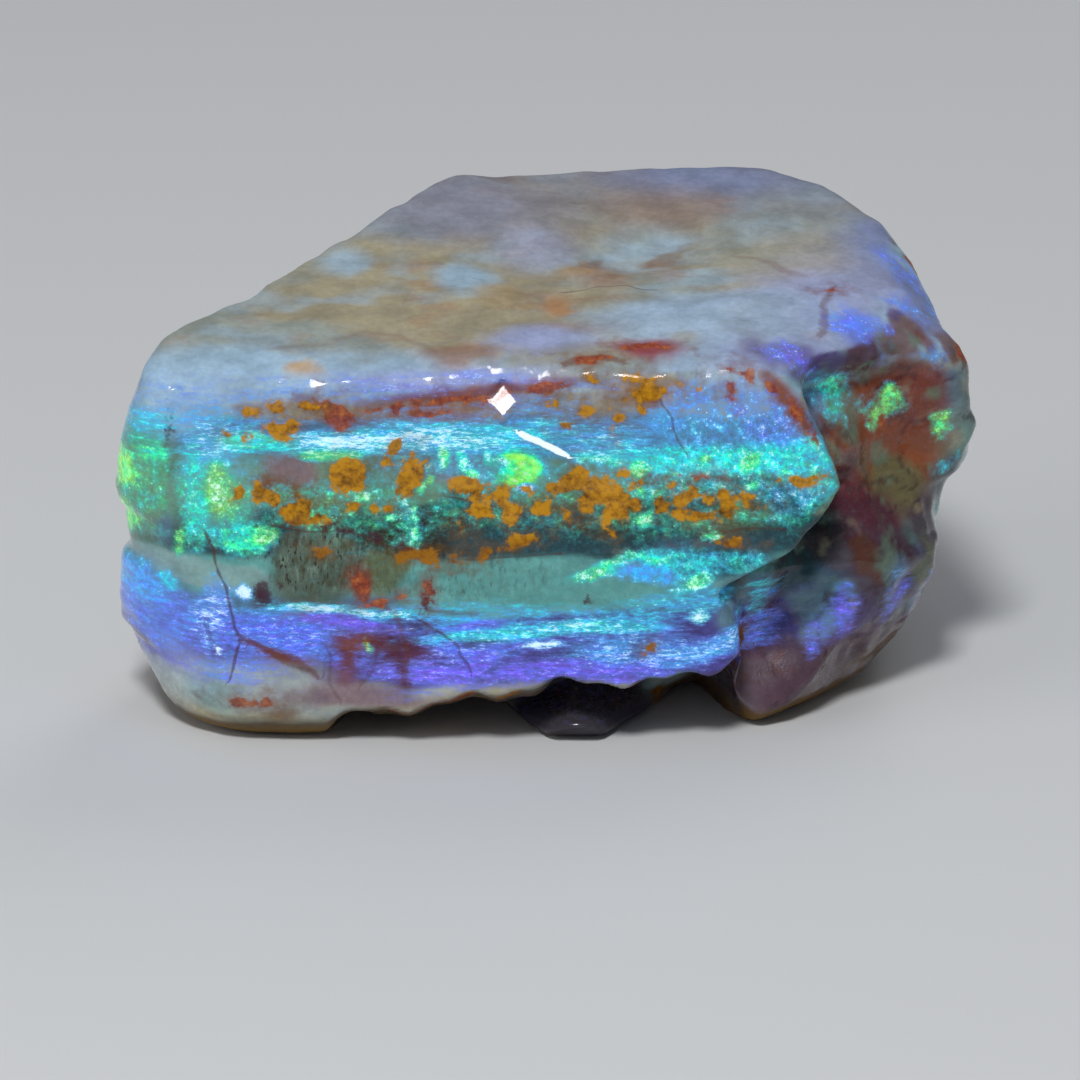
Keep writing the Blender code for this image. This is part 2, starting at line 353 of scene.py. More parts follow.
def top_steps(points):
    """The upper face raised by a low step towards its back and by the bells of its dishes and ridges."""
    x, y, z = points.T
    rise = BACK_STEP * ramp(x + 1.1 * y, 0.6, 3.2) * (1.0 - ramp(x, -2.5, 2.5))
    for height, *place in TOP_BELLS:
        rise = rise + height * bell(x, y, *place)
    moved = points.copy()
    moved[:, 2] += ramp(z, *UPPER_Z) * rise
    return moved


# Radius of the worn lower edge, and the reach inside which the base is drawn in less
FOOT_ROUND = 0.9
FOOT_KEPT = 6.0


def worn_foot(points):
    """The lower edge, worn to a quarter round by drawing it in towards the middle."""
    share = np.clip(1.0 - points[:, 2] / FOOT_ROUND, 0.0, 1.0)
    inward = FOOT_ROUND * (1.0 - np.sqrt(1.0 - share**2))
    reach = np.linalg.norm(points[:, :2], axis=1)
    shrink = 1.0 - inward / np.maximum(reach, FOOT_KEPT)
    return points * np.stack([shrink, shrink, np.ones(len(points))], axis=1)


# Where the middle of the stone's outline falls, seen from the heart
MIDDLE = np.array([-0.001, 0.078, 0.0])


def stone(directions):
    """The surface of the stone in these directions from its heart, standing on the table."""
    points = top_steps(hollows(relief(block(directions))))
    points[:, 2] = np.maximum(points[:, 2], 0.0)
    return worn_foot(points) - MIDDLE


# The surface is laid out on a grid: columns round the plan, rows from the middle of the base up the
# sides to the middle of the top
AROUND = 440
UP = 226
OUTLINE_STEPS = 1441
PILOT_ROWS = 241
# How much more a length counts on the front and the end, and how much of it on the base and the top
FRONT_WEIGHT = 1.5
END_WEIGHT = 0.7
BASE_WEIGHT = 0.3
TOP_WEIGHT = 0.62
# The rows' profile from the heart: share walked, reach out, height
DRUM = ((0.0, 0.0, -8.2), (0.25, 1.0, -8.2), (0.70, 1.0, 6.0), (1.0, 0.0, 6.0))


def columns():
    """Level directions of the columns. The outline of the plain block is walked from the back, its
    length counted more than once where it faces the front or the end, and shared out evenly."""
    azimuth = np.linspace(0.5, 2.5, OUTLINE_STEPS) * np.pi
    level = np.stack([np.cos(azimuth), np.sin(azimuth), 0.0 * azimuth], axis=1)
    outline = block(level) - HEART
    length = np.linalg.norm(np.diff(outline, axis=0), axis=1)
    middle = (azimuth[1:] + azimuth[:-1]) / 2
    front = ramp(-np.sin(middle), 0.05, 0.45)
    end = ramp(np.cos(middle), 0.5, 0.9)
    weighted = length * (1.0 + FRONT_WEIGHT * front + END_WEIGHT * end)
    travelled = np.concatenate([[0.0], np.cumsum(weighted)])
    at = np.interp(np.arange(AROUND) / AROUND * travelled[-1], travelled, azimuth)
    return block(np.stack([np.cos(at), np.sin(at), 0.0 * at], axis=1)) - HEART


def drum(share):
    """The profile walked by the rows: out along the base, up the side and in along the top."""
    at, reach, height = np.array(DRUM).T
    return np.interp(share, at, reach), np.interp(share, at, height)


def grid_directions():
    """Directions of the grid's points from the heart: each column's rows stand at even distances on
    the plain block, wider apart on its base and top."""
    level = columns()
    share = np.linspace(0.0, 1.0, PILOT_ROWS)
    reach, height = drum(share)
    up = np.array([0.0, 0.0, 1.0])
    rays = level[:, None, :] * reach[None, :, None] + up * height[None, :, None]
    pilot = block(rays.reshape(-1, 3)).reshape(len(level), -1, 3)
    length = np.linalg.norm(np.diff(pilot, axis=1), axis=2)
    middle = (share[1:] + share[:-1]) / 2
    weight = BASE_WEIGHT + (1.0 - BASE_WEIGHT) * ramp(middle, 0.22, 0.3)
    weight *= 1.0 - (1.0 - TOP_WEIGHT) * ramp(middle, 0.7, 0.78)
    counted = np.concatenate([np.zeros((len(level), 1)), length * weight], axis=1)
    travelled = np.cumsum(counted, axis=1)
    wanted = np.linspace(0.0, 1.0, UP + 1)
    at = np.stack([np.interp(wanted * row[-1], row, share) for row in travelled])
    reach, height = drum(at)
    return level[:, None, :] * reach[:, :, None] + up * height[:, :, None]


def grid_faces():
    """Quads between the rows, closed round the plan, and a fan of triangles at each pole."""
    column = np.arange(AROUND)
    after = (column + 1) % AROUND
    rings = np.arange(UP - 1)
    corner = rings[:, None] * AROUND
    low, high = corner[:-1], corner[1:]
    quads = np.stack([low + column, low + after, high + after, high + column], axis=2).reshape(-1, 4)
    base = AROUND * (UP - 1)
    bottom = np.stack([np.full(AROUND, base), after, column], axis=1)
    last = AROUND * (UP - 2)
    top = np.stack([np.full(AROUND, base + 1), last + column, last + after], axis=1)
    return quads, bottom, top


def points_of_grid():
    """The grid's points on the stone: the rings row by row, then the base pole and the top pole."""
    rays = grid_directions()
    rings = rays[:, 1:-1, :].transpose(1, 0, 2).reshape(-1, 3)
    return stone(np.concatenate([rings, rays[0, [0, -1], :]]))


# Small forms on the broken surface. Grain covers it all; bedding, in flat lenses, its sides; what is
# drawn on the front lies in the front's own coordinates, X along it and Z up
GRAIN_SIZE = 1.5
GRAIN_HEIGHT = 0.055
BEDDING_SIZE = (3.2, 3.2, 0.45)
BEDDING_HEIGHT = 0.05
BEDDING_FOOT = (0.2, 0.9)
BEDDING_TOP = (14.2, 13.4)
# How far the lines below wander
LINE_SHAKE = 0.10
# Cracks of the front: line, half width and depth
CRACKS = {
    "nose": (((3.76, 12.4), (4.36, 11.1), (4.86, 10.1), (5.26, 9.7)), 0.10, 0.13),
    "left joint": (((-12.24, 7.5), (-11.84, 6.5), (-11.44, 5.2), (-11.14, 3.9), (-11.44, 2.4)), 0.10, 0.13),
    "foot joint": (((-11.14, 3.9), (-9.94, 3.4), (-8.44, 2.6)), 0.10, 0.12),
    "low joint": (((-6.74, 4.4), (-4.74, 4.4), (-3.54, 3.9), (-2.74, 2.9)), 0.08, 0.12),
    "corner": (((-13.24, 12.4), (-13.19, 9.5), (-13.04, 6.8)), 0.10, 0.22),
}
# Low sharp crests of the front: line, height and half width
CRESTS = (
    (((-2.24, 11.9), (-1.04, 11.0), (0.76, 10.2), (1.56, 10.1)), 0.09, 0.24),
    (((4.3, 13.0), (5.2, 13.2), (6.6, 13.25), (7.8, 13.05)), 0.09, 0.26),
    (((-7.9, 12.55), (-6.6, 12.6), (-5.9, 12.4)), 0.05, 0.22),
)
# Swellings of the top: height, size along X, Y and Z
TOP_SWELL_HEIGHT = 0.25
TOP_SWELL_SIZE = (3.6, 2.0, 3.0)
# The clear blister on the violet layer: its middle, half width and height
BLISTER = (-6.34, 3.5, 0.28, 0.75)
BLISTER_HEIGHT = 0.16
# A small flat facet near the upper rim: its middle, half width and height, how soft its edge is, and
# how steeply its plane runs back along X and Z
FACET = (-1.66, 12.02, 0.74, 0.86)
FACET_EDGE = 0.26
FACET_SLOPE = (-0.052, 0.769)
# How far forward the broken front begins and is full; and where it ends at the nose, as height and
# place along the end's level direction
FRONT_FROM = (4.5, 6.5)
NOSE_RIM = (
    (3.0, -3.47),
    (5.0, -2.87),
    (6.0, -2.27),
    (8.5, -1.07),
    (9.0, -0.27),
    (11.5, -0.27),
    (13.0, -0.77),
)
NOSE_RIM_SOFT = 0.25
END_ALONG = (0.616, 0.788)


def beside_line(x, z, line):
    """Distance from a line of straight stretches, the least over the stretches, below 0 on one side."""
    nearest = np.full(len(x), 1e3)
    for (x0, z0), (x1, z1) in zip(line[:-1], line[1:]):
        along = ((x - x0) * (x1 - x0) + (z - z0) * (z1 - z0)) / ((x1 - x0) ** 2 + (z1 - z0) ** 2)
        along = np.clip(along, 0.0, 1.0)
        off = np.hypot(x - x0 - along * (x1 - x0), z - z0 - along * (z1 - z0))
        side = np.where((x - x0) * (z1 - z0) > (z - z0) * (x1 - x0), 1.0, -1.0)
        nearest = np.where(off < np.abs(nearest), off * side, nearest)
    return nearest


def wandering(points):
    """X and Z of the points, shaken a little so that lines drawn on the front wander."""
    x = points[:, 0] + LINE_SHAKE * lumps(points, 0.8, SEED + 90, 2)
    return x, points[:, 2] + LINE_SHAKE * lumps(points, 0.8, SEED + 94, 2)


def front_share(points):
    """1 on the broken front and on the left corner, 0 on the end, the back and the top."""
    x, y, z = points.T
    along = END_ALONG[1] * y + END_ALONG[0] * x
    before_nose = ramp(along_line(z, NOSE_RIM) - along, -NOSE_RIM_SOFT, NOSE_RIM_SOFT)
    return ramp(-y, *FRONT_FROM) * before_nose


def flat_facet(points, front):
    """The points inside a diamond on the front, moved along Y onto one sloping plane."""
    at_x, at_z, wide, tall = FACET
    beyond_x, beyond_z = points[:, 0] - at_x, points[:, 2] - at_z
    inside = 1.0 - np.abs(beyond_x) / wide - np.abs(beyond_z) / tall
    share = ramp(inside, 0.0, FACET_EDGE) * front
    middle = points[share > 0.5, 1].mean()
    plane = middle + FACET_SLOPE[0] * beyond_x + FACET_SLOPE[1] * beyond_z
    moved = points.copy()
    moved[:, 1] += (plane - points[:, 1]) * share
    return moved


def small_forms(points):
    """Grain and bedding all over and swellings on the top; on the front cracks, which are grooves with
    a bell-shaped section, crests like low roofs, a domed blister and the flat facet."""
    x, z = points[:, 0], points[:, 2]
    away = points - HEART
    away /= np.linalg.norm(away, axis=1, keepdims=True)
    front = front_share(points)
    side = ramp(z, *BEDDING_FOOT) * ramp(over_top(points), *BEDDING_TOP)
    out = GRAIN_HEIGHT * lumps(points, GRAIN_SIZE, SEED + 70, 4) * ramp(z, 0.05, 0.5)
    out += BEDDING_HEIGHT * lumps(points, BEDDING_SIZE, SEED + 80, 3) * side
    line_x, line_z = wandering(points)
    for line, width, depth in CRACKS.values():
        out -= depth * np.exp(-((beside_line(line_x, line_z, line) / width) ** 2)) * front
    for line, height, width in CRESTS:
        out += height * np.maximum(1.0 - np.abs(beside_line(line_x, line_z, line)) / width, 0.0) * front
    swell = TOP_SWELL_HEIGHT * lumps(points, TOP_SWELL_SIZE, SEED + 74, 3)
    out += swell * (1.0 - side) * ramp(z, 9.0, 12.0)
    at_x, at_z, wide, tall = BLISTER
    dome = np.maximum(1.0 - ((x - at_x) / wide) ** 2 - ((z - at_z) / tall) ** 2, 0.0)
    out += BLISTER_HEIGHT * np.sqrt(dome) * front
    return flat_facet(points + away * out[:, None], front)


def linear(red, green, blue):
    """A colour in screen values from 0 to 255, turned into the light values that shaders take."""
    value = np.array([red, green, blue]) / 255.0
    return np.where(value <= 0.04045, value / 12.92, ((value + 0.055) / 1.055) ** 2.4)


MILKY = linear(158, 188, 210)
LAVENDER = linear(158, 168, 208)
TAN = linear(162, 152, 124)
PALE_ICE = linear(160, 184, 208)
GREY_TOP = linear(148, 156, 150)
WEDGE = linear(130, 165, 163)
TEAL_POTCH = linear(98, 160, 156)
PALE_TEAL = linear(118, 168, 168)
GREY_GREEN = linear(104, 140, 118)
BLUE_GREY = linear(84, 118, 150)
VIOLET_GREY = linear(74, 70, 134)
SLATE = linear(44, 72, 80)
DEEP_TEAL = linear(18, 72, 84)
OLIVE = linear(98, 108, 74)
STRIA_GREEN = linear(88, 104, 92)
UMBER = linear(50, 42, 28)
AMBER = linear(116, 82, 30)
# Dark grey, painted as shade low under the overhangs
OVERHANG_SHADE = linear(58, 54, 58)
MAUVE = linear(138, 114, 120)
MAROON = linear(92, 48, 66)
RED_BROWN = linear(122, 60, 42)
RUST_HAZE = linear(158, 108, 76)
PALE_FOOT = linear(172, 184, 182)
FOOT_YELLOW = linear(172, 148, 82)
BASE_BROWN = linear(118, 90, 32)
RUST_BROWN = linear(138, 74, 44)
WINE = linear(84, 36, 52)
DUSKY = linear(88, 68, 124)
IRONSTONE = linear(112, 64, 44)
PLUM = linear(72, 46, 60)
RIM_GREY = linear(118, 134, 132)
GOLD_HAZE = linear(168, 138, 84)
DARK_RED = linear(118, 54, 48)
PALE_ORANGE = linear(188, 158, 120)
PINKISH = linear(116, 104, 118)
DOVE = linear(138, 138, 154)
BACK_BLUE = linear(124, 136, 176)
VIVID_BLUE = linear(112, 134, 232)
SUNNY = linear(200, 140, 84)
VIOLET_BLUE = linear(84, 98, 178)
END_FOOT = linear(92, 66, 78)
# Near black, painted as shade in the crevice under the nose
CREVICE_SHADE = linear(30, 24, 34)
CRIMSON = linear(150, 50, 68)
DARK_RUST = linear(88, 50, 34)

# Layers right round the stone: the height where each colour begins
LAYERS = (
    (0.0, PALE_FOOT),
    (2.4, VIOLET_GREY),
    (5.0, BLUE_GREY),
    (5.6, TEAL_POTCH),
    (6.7, SLATE),
    (8.4, GREY_GREEN),
    (10.1, BLUE_GREY),
    (11.5, GREY_TOP),
    (12.1, MILKY),
)
LAYER_BLUR = 0.18

# Patches of colour on the front: middle X and Z, half width and height, tilt, softness, colour, cover
FRONT_BODY = (
    (-14.04, 12.2, 2.4, 1.5, 0, 0.35, MILKY, 1.0),
    (-9.34, 12.7, 6.0, 0.8, 0, 0.35, MILKY, 1.0),
    (-2.84, 12.9, 5.0, 0.55, 0, 0.35, LAVENDER, 0.8),
    (2.56, 12.7, 2.6, 0.6, 0, 0.4, GREY_TOP, 0.8),
    (-14.44, 9.2, 1.5, 2.4, 0, 0.35, GREY_GREEN, 0.95),
    (-13.54, 7.5, 0.30, 0.6, 0, 0.5, BLUE_GREY, 0.8),
    (-11.84, 9.0, 1.3, 1.6, 0, 0.4, PALE_TEAL, 0.7),
    (-12.74, 6.2, 3.0, 0.38, -5, 0.12, WEDGE, 1.0),
    (-8.44, 6.6, 1.6, 1.35, 0, 0.2, STRIA_GREEN, 1.0),
    (-5.94, 6.6, 0.9, 1.0, 0, 0.3, OLIVE, 0.9),
    (-6.79, 5.95, 0.42, 0.7, 15, 0.25, RED_BROWN, 0.9),
    (-0.24, 5.7, 5.2, 0.95, 3, 0.12, TEAL_POTCH, 1.0),
    (-0.74, 7.8, 3.9, 1.05, 0, 0.25, SLATE, 0.9),
    (-3.04, 8.3, 1.1, 0.55, 0, 0.4, DEEP_TEAL, 0.9),
    (-5.24, 7.4, 1.7, 0.6, -8, 0.3, UMBER, 0.9),
    (-9.24, 9.6, 1.0, 0.65, 0, 0.4, MAUVE, 0.9),
    (-8.84, 8.5, 1.3, 0.6, 0, 0.4, AMBER, 0.6),
    (-3.24, 9.6, 1.2, 0.6, 0, 0.4, LAVENDER, 0.45),
    (-3.84, 11.6, 2.6, 0.45, 3, 0.5, RUST_HAZE, 0.55),
    (3.26, 12.2, 1.7, 0.5, 0, 0.5, RUST_HAZE, 0.5),
    (4.76, 8.3, 3.0, 0.75, -4, 0.4, DEEP_TEAL, 0.8),
    (8.46, 8.5, 1.3, 0.7, 0, 0.4, DEEP_TEAL, 0.9),
    (8.46, 11.9, 1.5, 0.5, -55, 0.4, MAUVE, 0.8),
    (5.16, 6.6, 2.4, 0.7, 0, 0.4, BLUE_GREY, 0.8),
    (6.66, 5.0, 0.8, 1.2, 10, 0.4, PALE_TEAL, 0.7),
    (-10.44, 1.6, 3.6, 1.5, 0, 0.3, PALE_FOOT, 1.0),
    (-10.6, 0.30, 3.6, 0.85, 0, 0.6, FOOT_YELLOW, 0.95),
    (-9.7, 1.0, 0.5, 0.8, -35, 0.7, AMBER, 0.75),
    (-12.0, 1.9, 1.1, 0.9, 0, 0.6, PALE_TEAL, 0.6),
    (-7.2, 2.1, 1.2, 0.5, 0, 0.6, MAUVE, 0.7),
    (-7.2, 3.3, 0.4, 0.9, 20, 0.8, RED_BROWN, 0.8),
    (-6.2, 3.9, 1.0, 0.28, -15, 0.8, RED_BROWN, 0.8),
    (-4.8, 3.8, 1.4, 0.38, -18, 0.8, MAROON, 0.9),
    (-5.3, 2.9, 0.45, 0.8, 12, 0.8, MAROON, 0.9),
    (-2.6, 3.9, 0.9, 0.25, 10, 0.8, PLUM, 0.8),
    (6.5, 8.9, 3.4, 0.9, 0, 0.5, DEEP_TEAL, 0.8),
    (-9.6, 3.3, 1.4, 0.22, -23, 0.5, RED_BROWN, 0.9),
    (-11.9, 3.9, 0.25, 0.9, 8, 0.6, MAROON, 0.6),
    (-1.6, 1.9, 5.5, 0.45, 3, 0.5, FOOT_YELLOW, 0.55),
    (8.6, 11.9, 1.7, 0.42, -48, 0.6, RUST_BROWN, 0.75),
    (-8.6, 11.8, 2.1, 0.42, -3, 0.6, GOLD_HAZE, 0.6),
    (-2.6, 12.28, 3.4, 0.20, 5, 0.6, DARK_RED, 0.85),
    (0.9, 11.6, 1.6, 0.45, 0, 0.7, GOLD_HAZE, 0.45),
    (3.6, 12.4, 1.0, 0.5, 0, 0.6, GOLD_HAZE, 0.6),
    (-8.9, 13.15, 0.65, 0.2, -5, 0.8, PALE_ORANGE, 0.8),
    (-9.6, 8.9, 1.0, 0.5, -15, 0.6, AMBER, 0.7),
    (-10.3, 9.1, 0.3, 0.35, 0, 0.6, RED_BROWN, 0.8),
    (-3.6, 9.7, 2.2, 0.45, 0, 0.5, VIOLET_GREY, 0.5),
    (-0.4, 8.7, 1.4, 0.35, -5, 0.6, OLIVE, 0.6),
    (-4.0, 7.9, 1.4, 0.4, -5, 0.6, UMBER, 0.6),
    (1.6, 7.75, 1.8, 0.35, 0, 0.6, UMBER, 0.55),
    (-14.4, 4.1, 1.6, 1.7, 0, 0.6, VIOLET_BLUE, 0.9),
    (-13.0, 2.7, 1.2, 0.6, -20, 0.7, LAVENDER, 0.6),
    (-6.9, 3.75, 1.1, 0.42, -10, 0.7, RED_BROWN, 0.8),
    (-5.3, 3.6, 0.8, 0.5, 0, 0.7, MAROON, 0.9),
    # Painted shade low on the right, under the nose
    (8.3, 1.6, 2.0, 1.7, 0, 0.3, OVERHANG_SHADE, 0.95),
    (7.6, 2.9, 0.7, 0.4, 30, 0.6, MAROON, 0.8),
    (-10.2, 5.5, 0.45, 0.35, 0, 0.8, PLUM, 0.9),
    (5.9, 6.6, 1.9, 0.6, 0, 0.4, DEEP_TEAL, 0.9),
    (6.4, 8.1, 1.9, 0.5, 0, 0.5, OLIVE, 0.6),
    (-6.7, 1.95, 2.4, 0.38, 0, 0.5, MAUVE, 0.9),
)

# Faint fire everywhere on the front: height, hue and strength
FRONT_GROUND = (
    (1.5, 0.12, 0.05),
    (2.8, 0.04, 0.34),
    (4.0, 0.14, 0.36),
    (4.9, 0.40, 0.42),
    (5.35, 0.48, 0.08),
    (6.6, 0.52, 0.04),
    (7.6, 0.60, 0.19),
    (8.6, 0.60, 0.26),
    (9.6, 0.46, 0.28),
    (10.6, 0.42, 0.48),
    (11.5, 0.34, 0.34),
    (12.3, 0.22, 0.26),
    (13.0, 0.15, 0.10),
)

# Play of colour on the front: middle X and Z, half width and height, tilt, softness, then the hue
# from 0 (violet) to 1 (yellow), how strongly it shows and how far it flares to white
FRONT_FIRE = (
    (-3.34, 12.55, 3.8, 0.35, 1, 0.5, 0.14, 0.40, 0.35),
    (-12.04, 10.7, 1.0, 0.75, 0, 0.4, 0.42, 0.62, 0.35),
    (-10.24, 10.6, 1.5, 0.28, -2, 0.4, 0.57, 0.95, 0.20),
    (-4.74, 10.75, 3.4, 0.50, 0, 0.35, 0.46, 0.88, 0.30),
    (-7.64, 10.65, 1.5, 0.33, -1, 0.5, 0.46, 1.00, 0.58),
    (-4.24, 10.60, 2.7, 0.30, 1, 0.5, 0.48, 1.00, 0.52),
    (-7.94, 10.20, 1.1, 0.17, 0, 0.5, 0.72, 0.90, 0.40),
    (-0.74, 11.00, 1.4, 0.32, 0, 0.5, 0.45, 0.80, 0.20),
    (2.06, 10.55, 1.8, 0.55, 0, 0.5, 0.42, 0.60, 0.20),
    (1.96, 10.00, 0.8, 0.20, 0, 0.6, 0.60, 0.80, 0.50),
    (-12.64, 8.60, 0.45, 1.5, 0, 0.5, 0.60, 0.75, 0.10),
    (-11.74, 9.00, 0.50, 0.85, 5, 0.5, 0.78, 0.85, 0.45),
    (-10.94, 7.30, 1.2, 0.65, 0, 0.35, 0.61, 0.88, 0.10),
    (-10.14, 7.45, 0.60, 0.40, 0, 0.5, 0.76, 0.92, 0.35),
    (-8.04, 8.10, 1.5, 0.35, -5, 0.6, 0.66, 0.45, 0.10),
    (-14.44, 9.10, 1.0, 1.7, 0, 0.6, 0.66, 0.40, 0.00),
    (-15.3, 9.40, 0.60, 0.70, 0, 0.4, 0.80, 1.20, 0.15),
    (-15.2, 7.50, 0.55, 0.60, 0, 0.4, 0.76, 1.10, 0.05),
    (-14.04, 10.3, 0.45, 0.40, 0, 0.5, 0.66, 0.75, 0.10),
    (-13.24, 7.20, 0.25, 0.50, 0, 0.5, 0.72, 0.70, 0.00),
    (-14.14, 11.3, 0.70, 0.35, 0, 0.5, 0.46, 0.65, 0.10),
    (-1.2, 9.65, 0.98, 0.66, 0, 0.3, 0.82, 1.50, 0.15),
    (-1.84, 9.95, 0.27, 0.22, 0, 0.3, 0.66, 1.00, 0.75),
    (-0.94, 9.00, 0.50, 0.13, 0, 0.3, 0.40, 0.95, 0.65),
    (-3.9, 9.75, 2.0, 0.40, 0, 0.6, 0.50, 0.40, 0.20),
    (-3.6, 10.1, 0.20, 0.34, 0, 0.3, 0.66, 1.10, 0.60),
    (-3.0, 10.0, 0.14, 0.30, 0, 0.3, 0.62, 1.00, 0.40),
    (-2.3, 10.1, 0.12, 0.24, 0, 0.3, 0.58, 1.00, 0.40),
    (-5.1, 8.0, 0.30, 0.9, 12, 0.6, 0.62, 0.55, 0.30),
    (-6.6, 8.9, 0.9, 0.25, 0, 0.6, 0.66, 0.55, 0.40),
    (5.76, 11.0, 2.2, 0.85, 0, 0.5, 0.38, 0.52, 0.15),
    (7.56, 11.5, 1.3, 0.60, -25, 0.5, 0.27, 0.58, 0.22),
    (5.16, 12.2, 1.0, 0.35, 0, 0.5, 0.30, 0.50, 0.10),
    (6.16, 10.0, 3.6, 0.50, 0, 0.45, 0.54, 0.88, 0.15),
    (9.36, 9.90, 0.90, 0.90, 0, 0.5, 0.54, 0.75, 0.10),
    (6.06, 9.15, 2.2, 0.40, 0, 0.6, 0.56, 0.60, 0.25),
    (8.46, 8.70, 1.0, 0.50, 10, 0.6, 0.46, 0.60, 0.30),
    (6.16, 8.00, 1.6, 0.35, 4, 0.6, 0.64, 0.50, 0.15),
    (1.96, 6.35, 1.3, 0.22, 12, 0.4, 0.63, 0.98, 0.25),
    (1.26, 6.20, 0.45, 0.14, 8, 0.5, 0.68, 1.00, 0.60),
    (4.6, 6.50, 1.8, 0.50, 0, 0.4, 0.50, 0.62, 0.05),
    (3.56, 6.75, 1.0, 0.20, 3, 0.5, 0.58, 0.85, 0.15),
    (6.86, 6.50, 0.60, 0.45, 0, 0.5, 0.54, 0.55, 0.10),
    (3.16, 6.20, 0.90, 0.30, 0, 0.5, 0.37, 0.80, 0.00),
    (4.76, 5.75, 0.80, 0.10, 0, 0.5, 0.58, 1.00, 0.60),
    (5.16, 5.95, 0.55, 0.18, 0, 0.5, 0.68, 0.75, 0.35),
    (5.16, 4.80, 0.30, 0.27, 0, 0.4, 0.50, 1.00, 0.70),
    (7.06, 3.95, 0.20, 0.18, 0, 0.4, 0.55, 1.00, 0.75),
    (5.06, 5.30, 2.2, 0.30, 0, 0.5, 0.45, 0.60, 0.10),
    (-14.3, 4.30, 1.5, 1.3, 0, 0.5, 0.20, 0.62, 0.00),
    (-15.0, 5.30, 1.0, 0.65, -5, 0.6, 0.33, 0.95, 0.05),
    (-13.64, 5.60, 0.35, 0.28, 0, 0.5, 0.45, 0.80, 0.10),
    (-12.04, 4.60, 0.60, 1.2, 0, 0.4, 0.24, 0.84, 0.42),
    (-11.0, 5.5, 0.42, 0.26, -12, 0.35, 0.36, 1.20, 1.00),
    (-9.44, 4.10, 2.2, 0.80, 0, 0.35, 0.18, 0.90, 0.18),
    (-7.3, 4.98, 2.4, 0.16, -5, 0.4, 0.48, 1.25, 0.60),
    (-6.9, 4.5, 1.5, 0.25, -8, 0.4, 0.05, 0.75, 0.05),
    (-4.5, 2.9, 1.1, 0.35, 0, 0.4, 0.03, 0.80, 0.05),
    (-2.64, 4.45, 0.90, 0.18, 0, 0.5, 0.14, 0.65, 0.10),
    (-3.14, 3.60, 1.7, 0.50, 0, 0.4, 0.14, 0.88, 0.20),
    (-0.74, 4.30, 3.6, 0.22, 4, 0.5, 0.48, 0.85, 0.25),
    (-0.34, 3.85, 0.75, 0.12, 0, 0.4, 0.40, 1.00, 0.90),
    (1.86, 4.35, 1.9, 0.22, 0, 0.5, 0.50, 0.90, 0.35),
    (2.96, 3.50, 2.6, 0.55, 0, 0.4, 0.30, 0.85, 0.30),
    (6.26, 3.80, 1.5, 0.40, 12, 0.4, 0.33, 0.85, 0.35),
    (-1.34, 2.90, 5.0, 0.40, 0, 0.4, 0.06, 0.80, 0.10),
    (-11.44, 2.90, 1.3, 0.50, 0, 0.6, 0.20, 0.45, 0.10),
    # The entry below is a painted yellow-white highlight on the clear blister
    (-6.5, 3.75, 0.10, 0.22, 0, 0.4, 0.95, 1.30, 0.80),
    (-11.7, 3.45, 0.12, 0.10, 0, 0.4, 0.15, 1.30, 1.40),
)

# Single green grains of the front: middle X and Z, half width and height
GREEN_GRAINS = (
    (-6.64, 8.73, 0.21, 0.10),
    (-3.54, 9.99, 0.14, 0.31),
    (-2.79, 9.6, 0.14, 0.17),
    (-4.14, 9.24, 0.18, 0.17),
    (-4.49, 8.9, 0.18, 0.14),
    (-5.24, 8.49, 0.14, 0.14),
    (-4.84, 8.1, 0.11, 0.26),
    (-4.94, 7.6, 0.14, 0.14),
    (3.36, 8.0, 0.26, 0.26),
    (3.36, 9.0, 0.11, 0.14),
    (3.36, 9.75, 0.32, 0.26),
    (5.66, 10.1, 0.20, 0.18),
    (7.16, 9.95, 0.30, 0.25),
    (5.76, 7.5, 0.45, 0.12),
    (7.26, 9.1, 0.22, 0.14),
    (-4.35, 9.1, 0.10, 0.12),
    (-5.0, 7.45, 0.12, 0.10),
    (-5.7, 8.0, 0.12, 0.10),
    (-7.9, 8.95, 0.16, 0.08),
    (-7.2, 8.3, 0.10, 0.08),
    (-6.2, 9.0, 0.12, 0.08),
    (4.6, 9.6, 0.16, 0.10),
    (8.4, 9.6, 0.18, 0.10),
)

# Hue, strength and flare of those grains
GREEN_GRAIN_FIRE = (0.68, 1.0, 0.35)

# The line of a painted white highlight along the crest
HIGHLIGHT_LINE = ((-0.98, 10.96), (-0.5, 10.72), (0.1, 10.42), (0.6, 10.22))

